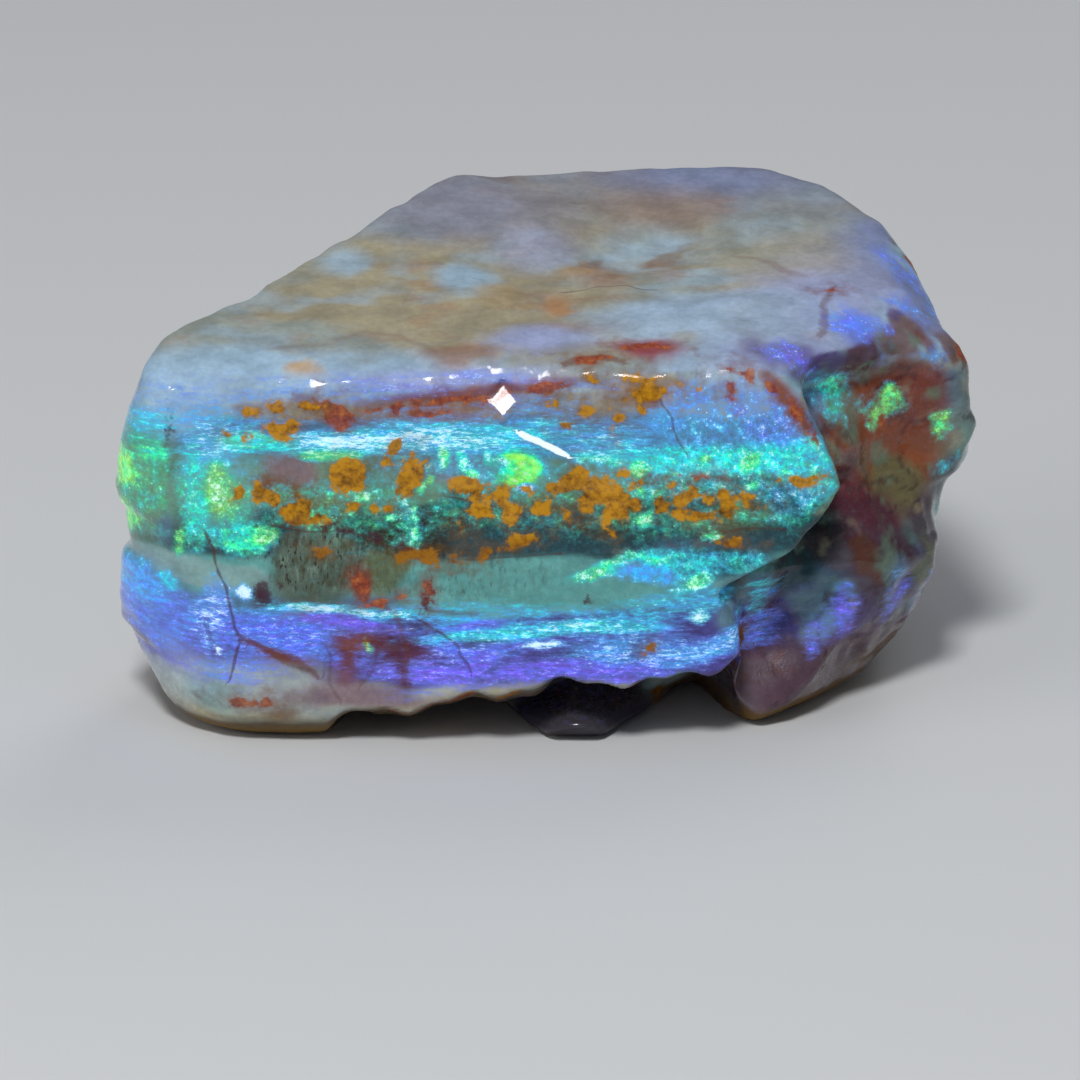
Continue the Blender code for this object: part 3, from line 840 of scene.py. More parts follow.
# Where the fire of the front is dulled: middle X and Z, half width and height, tilt, share lost
QUIET = (
    (-7.2, 3.3, 0.30, 0.80, 20, 0.75),
    (-6.2, 3.9, 0.9, 0.22, -15, 0.75),
    (-4.8, 3.8, 1.3, 0.30, -18, 0.75),
    (-5.3, 2.9, 0.32, 0.7, 12, 0.70),
    (-2.6, 3.9, 0.8, 0.20, 10, 0.55),
    (-3.6, 3.2, 0.6, 0.12, -10, 0.6),
    (-9.6, 3.3, 1.5, 0.20, -23, 0.85),
    (-6.9, 3.75, 1.1, 0.40, -10, 0.65),
    (-5.3, 3.6, 0.8, 0.45, 0, 0.6),
    (-7.3, 2.2, 1.2, 0.40, 0, 0.80),
    (-11.95, 3.9, 0.16, 0.8, 8, 0.55),
    (-1.8, 3.2, 0.25, 0.7, -40, 0.5),
    (0.6, 3.5, 0.9, 0.20, -10, 0.5),
    (3.3, 3.7, 0.6, 0.30, 30, 0.5),
    (-13.4, 9.0, 0.22, 2.4, 0, 0.6),
    (-13.9, 8.1, 0.5, 0.4, 0, 0.6),
    (8.7, 11.9, 1.6, 0.35, -48, 0.75),
    (-9.3, 9.6, 1.0, 0.55, 0, 0.7),
    (-8.0, 11.75, 2.6, 0.35, -3, 0.7),
    (-2.6, 12.25, 3.3, 0.20, 5, 0.75),
    (3.6, 12.4, 1.0, 0.45, 0, 0.6),
    (-8.9, 13.1, 0.8, 0.3, -5, 0.7),
    (2.0, 11.9, 1.6, 0.5, 0, 0.45),
    (6.6, 9.35, 1.6, 0.16, 0, 0.4),
    (6.6, 8.5, 2.6, 0.55, 0, 0.5),
    (6.4, 7.6, 1.8, 0.35, 0, 0.5),
)

# Ochre spots: middle X and Z, half width and height, tilt
OCHRE = (
    (-9.74, 11.9, 0.28, 0.20, 0),
    (-9.59, 11.05, 0.48, 0.28, 0),
    (-9.14, 11.25, 0.22, 0.24, 0),
    (-11.49, 10.9, 0.16, 0.15, 0),
    (-10.59, 11.7, 0.18, 0.12, 0),
    (-10.84, 10.8, 0.16, 0.13, 0),
    (-8.64, 11.9, 0.35, 0.14, 0),
    (0.61, 11.2, 0.25, 0.12, 0),
    (1.46, 11.7, 0.36, 0.10, 5),
    (2.36, 11.4, 0.20, 0.11, 0),
    (2.31, 10.95, 0.12, 0.20, 0),
    (3.46, 12.4, 0.50, 0.28, 0),
    (-7.24, 9.45, 0.66, 0.62, 0),
    (-4.99, 9.35, 0.40, 0.78, -25),
    (-5.49, 10.5, 0.14, 0.38, -30),
    (-2.79, 9.0, 0.80, 0.28, -8),
    (-1.69, 8.7, 0.18, 0.32, 0),
    (-2.44, 8.3, 0.38, 0.20, 0),
    (-1.39, 8.2, 0.45, 0.42, 0),
    (-0.29, 8.35, 0.26, 0.18, 0),
    (0.51, 8.1, 0.18, 0.14, 0),
    (-3.04, 7.7, 0.24, 0.15, 0),
    (0.91, 9.3, 0.55, 0.36, 15),
    (1.61, 9.1, 0.50, 0.40, 0),
    (0.36, 9.0, 0.35, 0.22, 0),
    (1.36, 8.5, 0.42, 0.40, 0),
    (2.46, 8.4, 0.62, 0.40, -10),
    (2.26, 8.95, 0.42, 0.30, 0),
    (2.66, 9.55, 0.24, 0.16, 0),
    (3.11, 9.3, 0.26, 0.20, 0),
    (3.96, 8.5, 0.24, 0.38, 20),
    (5.06, 8.95, 0.28, 0.22, 0),
    (6.16, 8.95, 0.26, 0.15, 0),
    (5.06, 8.2, 0.55, 0.18, 0),
    (6.06, 8.3, 0.60, 0.22, 10),
    (6.11, 7.25, 0.52, 0.16, -5),
    (9.06, 9.35, 0.50, 0.13, 5),
    (2.36, 7.3, 0.12, 0.36, 20),
    (-11.09, 8.95, 0.18, 0.18, 0),
    (-10.39, 8.95, 0.32, 0.32, 20),
    (-8.95, 8.35, 0.50, 0.42, -5),
    (-9.75, 8.75, 0.22, 0.16, 0),
    (-8.2, 8.15, 0.30, 0.20, 0),
    (-7.04, 8.5, 0.20, 0.12, 0),
    (-6.14, 8.4, 0.30, 0.10, -5),
    (-4.6, 6.75, 0.85, 0.24, -8),
    (-3.55, 6.6, 0.40, 0.14, -15),
    (-5.75, 9.95, 0.16, 0.10, 0),
    (4.55, 8.75, 0.28, 0.22, 0),
    (5.6, 8.65, 0.34, 0.14, -20),
    (6.7, 8.75, 0.28, 0.11, 10),
    (4.4, 9.3, 0.20, 0.14, 0),
    (7.4, 8.4, 0.30, 0.10, 0),
    (-0.9, 9.0, 0.22, 0.14, 0),
    (1.9, 7.85, 0.30, 0.12, 0),
    (-1.0, 7.35, 0.34, 0.12, 5),
    (-2.14, 6.9, 0.60, 0.12, 12),
    (3.51, 3.7, 0.24, 0.20, 30),
    (-8.04, 7.0, 0.20, 0.10, 0),
    (1.5, 12.75, 0.14, 0.10, 0),
    (2.2, 12.55, 0.12, 0.14, 0),
    (3.2, 12.85, 0.30, 0.08, 0),
    (4.0, 12.45, 0.20, 0.12, 0),
    (2.7, 12.1, 0.14, 0.12, 0),
    (4.5, 12.65, 0.16, 0.09, 0),
    (0.8, 12.1, 0.12, 0.10, 0),
    (3.3, 11.8, 0.12, 0.16, 0),
    (5.2, 12.4, 0.12, 0.08, 0),
    (0.2, 11.9, 0.14, 0.08, 0),
)

# Off its own face a mark's depth is lowered by this much, which hides it
MARK_GONE = 2.0

# Rust and red stains on the front, in the same form
RUST = (
    (-7.55, 11.55, 0.55, 0.50, -35),
    (-8.0, 11.95, 0.55, 0.20, -10),
    (-5.55, 11.7, 0.27, 0.25, 0),
    (-4.15, 12.2, 0.22, 0.14, 0),
    (-6.25, 11.75, 0.30, 0.12, 0),
    (-3.5, 12.05, 1.7, 0.17, 3),
    (-0.55, 12.45, 1.0, 0.19, 9),
    (-4.25, 11.55, 0.50, 0.14, 0),
    (3.5, 12.2, 0.30, 0.14, -30),
    (6.9, 12.95, 0.50, 0.16, -10),
    (7.9, 12.45, 0.40, 0.15, -40),
    (8.7, 11.7, 0.35, 0.12, -50),
    (9.3, 10.9, 0.28, 0.10, -60),
    (6.4, 12.4, 0.20, 0.35, 25),
    (-10.6, 1.65, 0.62, 0.13, 0),
    (-11.1, 1.6, 0.26, 0.22, 0),
    (-10.05, 1.7, 0.24, 0.20, 0),
    (-6.75, 5.9, 0.32, 0.48, 15),
    (-6.2, 5.2, 0.5, 0.10, 15),
    (5.26, 9.5, 0.50, 0.10, 0),
    (-4.34, 5.5, 0.16, 0.35, 10),
    (-8.6, 4.9, 0.18, 0.08, 0),
)

# Veins of the front: line, half width and how plainly it shows
VEINS = (
    (((-12.24, 7.6), (-11.84, 6.5), (-11.44, 5.2), (-11.14, 3.9), (-11.44, 2.4)), 0.05, 0.75),
    (((-11.14, 4.0), (-10.4, 3.7), (-9.4, 3.4), (-8.3, 2.7)), 0.10, 0.65),
    (((-10.2, 3.6), (-9.3, 3.1), (-8.5, 2.8)), 0.08, 0.5),
    (((-4.74, 4.7), (-3.94, 4.3), (-3.34, 3.8), (-2.84, 2.9)), 0.045, 0.6),
    (((-5.9, 5.2), (-5.64, 4.9), (-5.3, 4.2), (-5.1, 3.4), (-5.3, 2.6)), 0.10, 0.5),
    (((-7.9, 3.6), (-7.7, 3.1), (-7.8, 2.4), (-7.5, 1.8)), 0.06, 0.35),
    (((-6.5, 4.3), (-6.2, 3.7), (-6.3, 3.0), (-6.7, 2.3)), 0.07, 0.4),
    (((-4.3, 5.5), (-4.4, 5.0), (-3.7, 4.95), (-2.6, 4.9)), 0.07, 0.45),
    (((3.76, 12.5), (4.06, 11.9), (4.36, 11.3), (4.8, 10.3)), 0.035, 0.6),
    (((5.6, 7.55), (6.9, 7.75), (8.3, 7.7)), 0.045, 0.6),
    (((-3.6, 8.75), (-2.4, 8.6), (-1.6, 8.35)), 0.05, 0.6),
    (((-3.0, 6.6), (-1.4, 6.75), (0.4, 6.9)), 0.03, 0.7),
    (((-9.9, 7.9), (-8.6, 7.6), (-7.4, 7.75), (-6.4, 7.4), (-5.0, 6.95)), 0.045, 0.7),
)

# Dark specks of the front, in the form of the ochre spots
DARK = (
    (-10.6, 7.7, 0.20, 0.10, 10),
    (-10.8, 7.4, 0.07, 0.22, 0),
    (-10.2, 5.55, 0.34, 0.30, 0),
    (-9.95, 5.25, 0.26, 0.14, -30),
    (-9.7, 5.7, 0.10, 0.10, 0),
    (-9.4, 7.9, 0.24, 0.10, -10),
    (-8.9, 7.6, 0.10, 0.22, 0),
    (-7.9, 7.8, 0.20, 0.08, 0),
    (-7.2, 7.7, 0.30, 0.10, -10),
    (-6.4, 7.5, 0.35, 0.12, -20),
    (-5.3, 7.1, 0.22, 0.10, -20),
    (-13.5, 11.0, 0.06, 0.30, 0),
    (-4.3, 5.2, 0.12, 0.26, 0),
    (1.4, 5.5, 0.12, 0.10, 0),
    (7.36, 4.4, 0.13, 0.20, 20),
)

# The brushed potch and the pale potch beside it, as ovals
BRUSHED_POTCH = (-8.24, 6.7, 2.1, 1.3, 0)
PALE_POTCH = (-3.5, 6.2, 4.5, 1.1, 2)


def oval(x, z, patch):
    """Distance from the middle of a tilted oval, as a share of its half size."""
    at_x, at_z, wide, tall, tilt = patch[:5]
    turn = np.radians(tilt)
    u = (np.cos(turn) * (x - at_x) + np.sin(turn) * (z - at_z)) / wide
    v = (np.cos(turn) * (z - at_z) - np.sin(turn) * (x - at_x)) / tall
    return np.hypot(u, v)


def depth_inside(x, z, patches):
    """How many millimetres each point lies inside the nearest of the ovals; below 0 outside."""
    deepest = np.full(len(x), -1.0)
    for patch in patches:
        deepest = np.maximum(deepest, (1.0 - oval(x, z, patch)) * min(patch[2], patch[3]))
    return deepest


# Round the end, the back and the top, colour sits in balls: middle and radius, then colour and cover,
# or hue, strength and flare as on the front
ROUND_BODY = (
    (11.7, -4.2, 9.4, 3.4, RUST_BROWN, 1.0),
    (13.2, -3.2, 11.2, 1.5, RED_BROWN, 0.9),
    (10.6, -5.4, 8.4, 1.4, WINE, 0.8),
    (12.4, -3.9, 7.7, 1.4, OLIVE, 0.75),
    (11.3, -4.7, 8.9, 0.7, AMBER, 0.7),
    (10.4, -4.8, 10.6, 1.0, GREY_GREEN, 0.7),
    (11.0, -4.6, 12.7, 1.3, WINE, 0.9),
    (9.6, -5.6, 12.3, 1.1, DUSKY, 0.9),
    (13.5, -2.7, 12.7, 0.6, RED_BROWN, 0.8),
    (11.5, -5.6, 6.5, 1.9, WINE, 0.95),
    (13.8, -4.0, 6.3, 1.3, PLUM, 0.9),
    (12.3, -5.8, 4.4, 2.2, PLUM, 0.9),
    (10.3, -7.0, 5.6, 0.9, PINKISH, 0.95),
    (11.5, -6.5, 5.6, 0.6, DARK_RUST, 0.9),
    (11.7, -6.4, 4.8, 0.6, DARK_RUST, 0.9),
    (12.5, -5.7, 5.1, 0.7, BLUE_GREY, 0.9),
    (13.5, -4.4, 5.1, 0.9, OLIVE, 0.8),
    (11.2, -6.6, 2.6, 1.6, DUSKY, 0.9),
    # Painted shade low on the end, under the nose
    (9.0, -7.4, 0.7, 2.4, OVERHANG_SHADE, 0.9),
    (8.1, -8.5, 4.6, 1.1, DEEP_TEAL, 0.8),
    (15.4, -1.6, 10.8, 1.7, RIM_GREY, 0.9),
    (13.6, 0.4, 13.6, 1.7, BACK_BLUE, 0.9),
    (13.0, -1.5, 13.5, 1.1, LAVENDER, 0.9),
    (14.2, -1.4, 12.9, 1.3, BACK_BLUE, 0.85),
    (12.8, -2.3, 13.2, 0.7, DUSKY, 0.8),
    (8.6, -6.1, 13.0, 1.1, DUSKY, 0.8),
    # Painted shade in the crevice under the nose: near black and a darkened deep teal
    (9.6, -6.4, 6.3, 1.3, CREVICE_SHADE, 0.95),
    (8.8, -6.9, 5.4, 1.1, DEEP_TEAL * 0.5, 0.9),
)

ROUND_FIRE = (
    (9.4, -5.2, 11.9, 0.8, 0.42, 0.45, 0.00),
    (10.36, -4.86, 11.3, 1.1, 0.60, 0.65, 0.05),
    (12.16, -3.86, 10.7, 0.8, 0.76, 0.85, 0.10),
    (14.26, -3.16, 9.8, 0.7, 0.78, 0.65, 0.05),
    (14.7, -2.8, 8.1, 0.8, 0.50, 0.40, 0.00),
    (15.2, -1.6, 9.2, 0.6, 0.74, 0.60, 0.00),
    (13.9, -3.0, 12.2, 0.6, 0.30, 0.40, 0.00),
    (14.7, 0.3, 12.9, 1.4, 0.26, 0.45, 0.00),
    (10.0, -7.1, 4.7, 0.8, 0.10, 0.60, 0.00),
    (12.5, -5.8, 5.0, 0.5, 0.36, 0.45, 0.00),
    (10.6, -6.9, 3.6, 1.0, 0.08, 0.70, 0.05),
    (9.5, -7.4, 3.1, 0.9, 0.12, 0.85, 0.05),
    (12.6, -5.6, 3.7, 0.9, 0.10, 0.55, 0.00),
    (13.9, -3.9, 4.4, 0.8, 0.14, 0.45, 0.00),
    (7.96, -8.56, 4.9, 1.2, 0.50, 0.55, 0.00),
    (8.16, -6.06, 13.4, 1.2, 0.12, 0.60, 0.10),
    (8.9, -5.9, 12.9, 1.0, 0.04, 0.55, 0.00),
    (11.16, -3.66, 13.8, 1.4, 0.18, 0.80, 0.10),
    (13.06, -1.26, 13.6, 1.1, 0.22, 0.50, 0.00),
    (13.3, 1.6, 14.2, 1.8, 0.18, 0.45, 0.00),
)

# Bands of play of colour that run on round the sides and the back: height, half height, hue, strength
FIRE_BANDS = (
    (3.8, 1.1, 0.18, 0.75),
    (5.1, 0.25, 0.50, 0.80),
    (7.8, 0.7, 0.66, 0.55),
    (10.6, 0.6, 0.48, 0.80),
    (9.4, 0.5, 0.74, 0.70),
    (12.7, 0.4, 0.15, 0.35),
)

# Rust marks of the top: middle X and Y, half sizes, tilt
TOP_MARKS = (
    (3.3, -5.96, 0.8, 0.34, -8),
    (10.35, -1.35, 0.40, 0.22, 0),
    (1.6, -6.85, 0.7, 0.14, 4),
)

# Veins of the top: line, half width and how plainly it shows
TOP_VEINS = (
    (((0.4, -1.3), (1.5, -0.85), (3.85, -1.05)), 0.04, 0.55),
    (((0.6, -6.9), (1.8, -6.8), (2.7, -7.0)), 0.12, 0.6),
    (((10.4, -1.2), (10.0, -2.5), (9.8, -4.8)), 0.15, 0.55),
    (((-10.0, -5.95), (-7.9, -5.5), (-6.6, -4.6), (-5.4, -5.0), (-4.2, -6.2)), 0.14, 0.20),
    (((7.0, 1.7), (8.3, 1.05), (9.2, -0.2)), 0.14, 0.30),
)

# Patches of colour on the top: middle X and Y, half sizes, tilt, softness, colour, cover
TOP_BODY = (
    (-3.2, 5.1, 3.2, 2.4, 0, 0.7, DOVE, 0.8),
    (4.3, 6.0, 2.0, 1.7, 0, 0.7, RUST_HAZE, 0.25),
    (6.0, 8.6, 4.0, 1.4, 0, 0.7, BACK_BLUE, 0.7),
    (9.2, 1.8, 2.6, 1.6, 0, 0.7, TAN, 0.6),
    (-7.6, 1.2, 1.0, 1.0, 0, 0.6, MILKY, 0.75),
    (-2.8, -0.6, 1.1, 1.3, 25, 0.5, MILKY, 0.9),
    (-0.4, 2.2, 1.4, 1.7, 0, 0.6, LAVENDER, 0.5),
    (-1.7, -1.8, 0.9, 0.9, 0, 0.6, GOLD_HAZE, 0.6),
    (0.2, -2.6, 0.5, 0.8, 0, 0.8, SUNNY, 0.6),
    (1.0, -4.3, 1.5, 0.35, 10, 0.8, RUST_HAZE, 0.5),
    (2.0, 0.2, 1.0, 1.0, 0, 0.7, RUST_HAZE, 0.5),
    (4.35, 0.5, 0.7, 0.8, 0, 0.7, RUST_HAZE, 0.4),
    (-0.3, -5.4, 1.8, 1.1, 0, 0.6, LAVENDER, 0.9),
    (6.6, -3.4, 3.4, 1.7, 0, 0.6, PALE_ICE, 0.75),
    (2.4, -3.6, 1.6, 1.1, 0, 0.6, PALE_ICE, 0.6),
    (3.3, -5.9, 1.15, 0.62, -8, 0.6, CRIMSON, 0.9),
    (-3.1, -6.4, 1.3, 0.6, 0, 0.6, RUST_HAZE, 0.6),
    (-8.9, -6.9, 0.6, 0.35, 0, 0.6, PALE_ORANGE, 0.9),
    (12.7, 2.9, 1.6, 2.4, 0, 0.7, BACK_BLUE, 0.9),
    (11.1, -3.7, 1.1, 1.2, 0, 0.5, VIVID_BLUE, 0.9),
    (8.3, -6.1, 1.7, 0.6, 0, 0.6, DUSKY, 0.7),
)


def tinted(paint, layers):
    """The paint with colours laid over it one after another: pairs of a colour and its cover."""
    for colour, cover in layers:
        paint = paint + (colour - paint) * cover[:, None]
    return paint


def in_oval(x, z, patch, full, gone):
    """1 inside the oval shrunk to `full` of its size, falling to 0 where it has grown to `gone`."""
    return 1.0 - ramp(oval(x, z, patch), full, gone)


def in_patch(x, z, patch):
    """1 inside a patch and 0 outside, with the softness that follows its oval."""
    return in_oval(x, z, patch, 1.0 - patch[5], 1.0 + patch[5])


def in_ball(points, ball, full, gone):
    """1 inside the ball shrunk to `full` of its size, falling to 0 where it has grown to `gone`."""
    return 1.0 - ramp(np.linalg.norm(points - np.array(ball[:3]), axis=1) / ball[3], full, gone)


def on_end(points, start, full, back):
    """1 on the broken end: rising between two places in X, and fading out towards a place in Y."""
    return ramp(points[:, 0], start, full) * ramp(back - points[:, 1], 0.0, 3.0)


def stirred(points, size, reach, offsets):
    """The points moved this far by lumps of this size, each coordinate with noise of its own."""
    moves = [lumps(points, size, SEED + offset, 3) for offset in offsets]
    return points + reach * np.stack(moves, axis=1)


def skin_colour(points, place):
    """The worn skin of the top: clouds of grey and tan, milky towards the front rim, blue-grey towards
    the back, paler on the right shelf, with patches laid on at places shaken by noise."""
    x, y = place[:, 0], place[:, 1]
    cloud = lumps(points, (4.5, 2.6, 4.0), SEED + 130, 4)
    lobe = lumps(points, (2.6, 1.7, 2.6), SEED + 134, 3)
    golden = lumps(points, (2.2, 1.0, 2.0), SEED + 136, 4)
    middle = bell(x, y, -4.0, -1.6, 9.0, 4.4)
    rim = ramp(-y + 0.05 * np.abs(x), 5.9, 7.4) * ramp(-x, -2.0, 8.0)
    shelf = ramp(x, 1.0, 4.0) * ramp(-1.0 - y, 0.0, 2.0)
    right = ramp(x - 0.3 * y, 6.0, 10.5) * ramp(4.5 - y, 0.0, 4.0)
    clouds = (
        (TAN, ramp(cloud + 0.5 * middle, -0.1, 0.4) * 0.9),
        (MILKY, rim),
        (MILKY, ramp(lobe, 0.0, 0.5) * 0.45),
        (PALE_ICE, shelf * ramp(lobe, -0.35, 0.1) * 0.85),
        (LAVENDER, right * 0.85),
        (DOVE * 0.85, ramp(y, 2.0, 7.0) * 0.6),
        (RUST_HAZE, ramp(golden + 0.3 * middle, 0.35, 0.75) * 0.3),
    )
    patches = ((patch[6], in_patch(x, y, patch) * patch[7]) for patch in TOP_BODY)
    return tinted(tinted(np.tile(GREY_TOP, (len(points), 1)), clouds), patches)


def body_colour(points, x, z, shares):
    """The stone's colour, partly painted shade: layers by height, ironstone and pale potch where a mottled
    noise is high and low, patches on the front, balls round the end, then grains and seams of the end,
    the skin of the top, the underside in a darkened amber that is partly its brown and partly painted
    shade, and the brown foot. A few front patches and end balls, and the toe, are painted shade."""
    front, top, under = shares
    elsewhere = 1.0 - front
    bent = stirred(points, 2.2, 2.0, (118, 119, 121))
    mottle = lumps(bent, (3.4, 3.4, 1.9), SEED + 120, 4)
    shaken = points + 0.9 * np.stack([mottle, -mottle, lumps(points, 1.6, SEED + 126, 3)], axis=1)
    low = points[:, 2]

    layers = ((colour, ramp(z, edge - LAYER_BLUR, edge + LAYER_BLUR)) for edge, colour in LAYERS[1:])
    paint = tinted(np.tile(LAYERS[0][1], (len(points), 1)), layers)
    mottled = (
        (IRONSTONE, ramp(mottle, 0.10, 0.42) * elsewhere * 0.8),
        (PALE_TEAL, ramp(-mottle, 0.15, 0.40) * elsewhere * 0.6),
    )
    paint = tinted(paint, mottled)
    paint = tinted(paint, ((patch[6], in_patch(x, z, patch) * patch[7] * front) for patch in FRONT_BODY))
    balls = ((ball[4], in_ball(shaken, ball, 0.6, 1.15) * ball[5] * elsewhere) for ball in ROUND_BODY)
    paint = tinted(paint, balls)

    end = on_end(points, 6.5, 8.5, 5.0) * elsewhere
    foot = on_end(points, 5.2, 6.6, 5.0) * ramp(3.4 - low, 0.0, 1.0)
    grain = lumps(points, 1.0, SEED + 122, 4)
    seam = 1.0 - ramp(np.abs(lumps(points, 1.5, SEED + 124, 4)), 0.01, 0.08)
    toe = 1.0 - ramp(np.hypot(points[:, 0] - TOE_X, points[:, 1] + 8.5), 2.6, 3.6)
    last = (
        (GREY_GREEN, ramp(grain, 0.22, 0.50) * 0.55 * end),
        (TAN, ramp(-grain, 0.34, 0.56) * 0.45 * end),
        (END_FOOT, foot * 0.9 * elsewhere),
        (WINE * 0.5, seam * 0.6 * end * ramp(12.9 - low, 0.0, 1.0)),
        (skin_colour(points, shaken), top),
        # Surfaces facing down take a darkened copy of the amber: partly the underside's brown, partly
        # painted shade
        (AMBER * 0.6, under * ramp(3.0 - z, 0.0, 1.5) * 0.9),
        # Painted shade on the toe under the undercut
        (OVERHANG_SHADE, toe * ramp(1.9 - low, 0.0, 0.5)),
        (BASE_BROWN, ramp(0.85 - low, 0.0, 0.5) * 0.85 * (1.0 - toe)),
    )
    return tinted(paint, last)


def play_of_colour(points, x, z, shares):
    """Hue, strength and flare of the fire: a faint ground by height on the front, bands round the stone
    broken up by noise, patches and grains on the front, and balls round the end. Each is laid over the
    one before, and dull places take a share of the strength away."""
    front, top, under = shares
    height, ground_hue, ground_power = np.array(FRONT_GROUND).T
    drift = lumps(points, (3.0, 3.0, 0.9), SEED + 144, 3)
    nose = ramp(x, 2.5, 5.5) * between(z, 8.0, 12.3, 0.5)
    hue = np.interp(z, height, ground_hue) + 0.10 * drift
    power = np.interp(z, height, ground_power) * (0.75 + 1.1 * drift + 0.7 * nose) * front
    flare = np.zeros(len(points))

    def lay(share, to_hue, to_power, to_flare):
        hue[:] = hue + (to_hue - hue) * np.minimum(share * 1.6, 1.0)
        power[:] = power + (to_power - power) * share
        flare[:] = flare + (to_flare - flare) * share

    broken = lumps(points, (3.4, 3.4, 0.9), SEED + 140, 3)
    sides = (1.0 - front) * (1.0 - top) * (1.0 - under)
    sides *= 1.0 - 0.95 * on_end(points, 7.0, 9.0, 3.5)
    for height, half, to_hue, to_power in FIRE_BANDS:
        share = 1.0 - ramp(np.abs(z - height) / half, 0.6, 1.2)
        lay(share * sides * ramp(broken, -0.15, 0.20), to_hue, to_power, 0.05)
    for patch in FRONT_FIRE:
        soft, to_hue, to_power, to_flare = patch[5:]
        share = in_oval(x, z, patch, 1.0 - 1.5 * soft, 1.0 + 1.3 * soft)
        lay(share * front, to_hue, to_power, to_flare)
    for patch in QUIET:
        power *= 1.0 - patch[5] * in_oval(x, z, patch, 0.2, 1.5) * front
    for grain in GREEN_GRAINS:
        lay(in_oval(x, z, (*grain, 0), 0.6, 1.3) * front, *GREEN_GRAIN_FIRE)
    bent = stirred(points, 1.1, 0.8, (146, 147, 148))
    for ball in ROUND_FIRE:
        lay(in_ball(bent, ball, 0.1, 1.3) * (1.0 - 0.9 * front), *ball[4:])
    # Painted shade: the fire is dimmed on surfaces facing down
    power *= 1.0 - 0.9 * under
    return np.stack([hue, power, flare], axis=1)


def place_on_top(points):
    """X and Y of the points, shaken so that marks and veins on the top wander."""
    x = points[:, 0] + 0.25 * lumps(points, 1.2, SEED + 150, 2)
    return x, points[:, 1] + 0.25 * lumps(points, 1.2, SEED + 152, 2)


def marks(points, x, z, shares):
    """How far inside its marks each point lies, in millimetres: ochre, rust and dark specks. Away from
    the front and the top, ochre and rust are blotches where noise is high and low."""
    front, top = shares[:2]
    blotch = lumps(points, 1.7, SEED + 156, 3)
    elsewhere = (1.0 - front) * (1.0 - top)
    end = on_end(points, 6.5, 8.5, 4.0)
    fields = []
    for spots in (OCHRE, RUST, DARK):
        fields.append(depth_inside(x, z, spots) - MARK_GONE * (1.0 - front))
    ochre, rust, dark = fields
    rust = np.maximum(rust, depth_inside(*place_on_top(points), TOP_MARKS) - MARK_GONE * (1.0 - top))
    ochre_blotch = (blotch - 0.46) * 1.5 - MARK_GONE * (1.0 - elsewhere) - MARK_GONE * end
    rust_blotch = (-0.36 - blotch) * 1.5 - MARK_GONE * (1.0 - elsewhere) - 0.35 * end
    rust_blotch = rust_blotch - ramp(1.4 - z, 0.0, 0.8)
    return np.stack([np.maximum(ochre, ochre_blotch), np.maximum(rust, rust_blotch), dark], axis=1)


def veins(points, x, z, shares):
    """The nearest vein: distance from its middle, below 0 on one side, its nearness and half width."""
    front, top = shares[:2]
    off = np.full(len(points), 1.0)
    near = np.zeros(len(points))
    half = np.zeros(len(points))
    lines = [(x, z, front, *vein) for vein in VEINS]
    lines += [(*place_on_top(points), top, *vein) for vein in TOP_VEINS]
    for u, v, here, line, line_half, plain in lines:
        beside = beside_line(u, v, line)
        closer = (np.abs(beside) < np.abs(off)) & (here > 0.5)
        off = np.where(closer, beside, off)
        half = np.where(closer, line_half, half)
        near = np.where(closer, plain * (1.0 - ramp(np.abs(beside), 0.20, 0.32)), near)
    return np.stack([off, near, half], axis=1)


def painted_highlight_line(points, front):
    """Distance from the middle of the painted white highlight line, below 0 on one side, and its nearness.
    """
    off = beside_line(*wandering(points), HIGHLIGHT_LINE)
    near = (1.0 - ramp(np.abs(off), 0.25, 0.35)) * front
    return np.stack([off, near, np.zeros(len(points))], axis=1)


def finish_of_skin(points, x, z, shares):
    """Streaks (1) or grains (0) in the fire, upright streaks in the potch, how wet the skin looks."""
    front, top, under = shares
    grained = ramp(x, 3.2, 4.5) * ramp(z, 7.0, 8.0)
    streak = np.maximum(ramp(z, 9.9, 10.3), ramp(5.6 - z, -0.2, 0.3)) * (1.0 - grained)
    tick = in_oval(x, z, BRUSHED_POTCH, 0.7, 1.1) * front
    tick = np.maximum(tick, 0.35 * in_oval(x, z, PALE_POTCH, 0.6, 1.1) * front)
    skin = np.maximum(top, ramp(points[:, 2] + 0.3 * lumps(points, 1.4, SEED + 170, 2), 12.2, 12.9))
    corner = ramp(-5.6 - x, 0.0, 0.8) * ramp(z, 12.2, 12.8)
    wet = (1.0 - 0.55 * skin - 0.5 * under) * (1.0 - 0.42 * corner)
    return np.stack([streak, tick, wet * (1.0 - 0.4 * ramp(1.1 - z, 0.0, 0.8))], axis=1)


def outward_normals(points, quads, fans):
    """Normals of the points, summed from the crosses of the faces' diagonals or edges."""
    normal = np.zeros_like(points)
    cross = np.cross(points[quads[:, 2]] - points[quads[:, 0]], points[quads[:, 3]] - points[quads[:, 1]])
    for corner in range(4):
        np.add.at(normal, quads[:, corner], cross)
    cross = np.cross(points[fans[:, 1]] - points[fans[:, 0]], points[fans[:, 2]] - points[fans[:, 0]])
    for corner in range(3):
        np.add.at(normal, fans[:, corner], cross)
    return normal / np.maximum(np.linalg.norm(normal, axis=1, keepdims=True), 1e-12)


def wavy(points, x, z, reach, size, offsets):
    """X and Z moved by lumps that are longer along the layers than across them."""
    flattened = points * np.array([0.6, 0.6, 1.0])
    moved_x = x + reach[0] * lumps(points, size[0], SEED + offsets[0], 3)
    return moved_x, z + reach[1] * lumps(flattened, size[1], SEED + offsets[1], 3)


# The painted top: heights over its climb to the back, and how far it faces up; the underside, painted a
# darkened amber as shade and with its fire dimmed: how far it faces down, and the height where it ends
TOP_PAINT_FROM = (13.9, 14.35)
TOP_FACING = (0.45, 0.8)
UNDER_FACING = (0.25, 0.6)
UNDER_END = 4.5


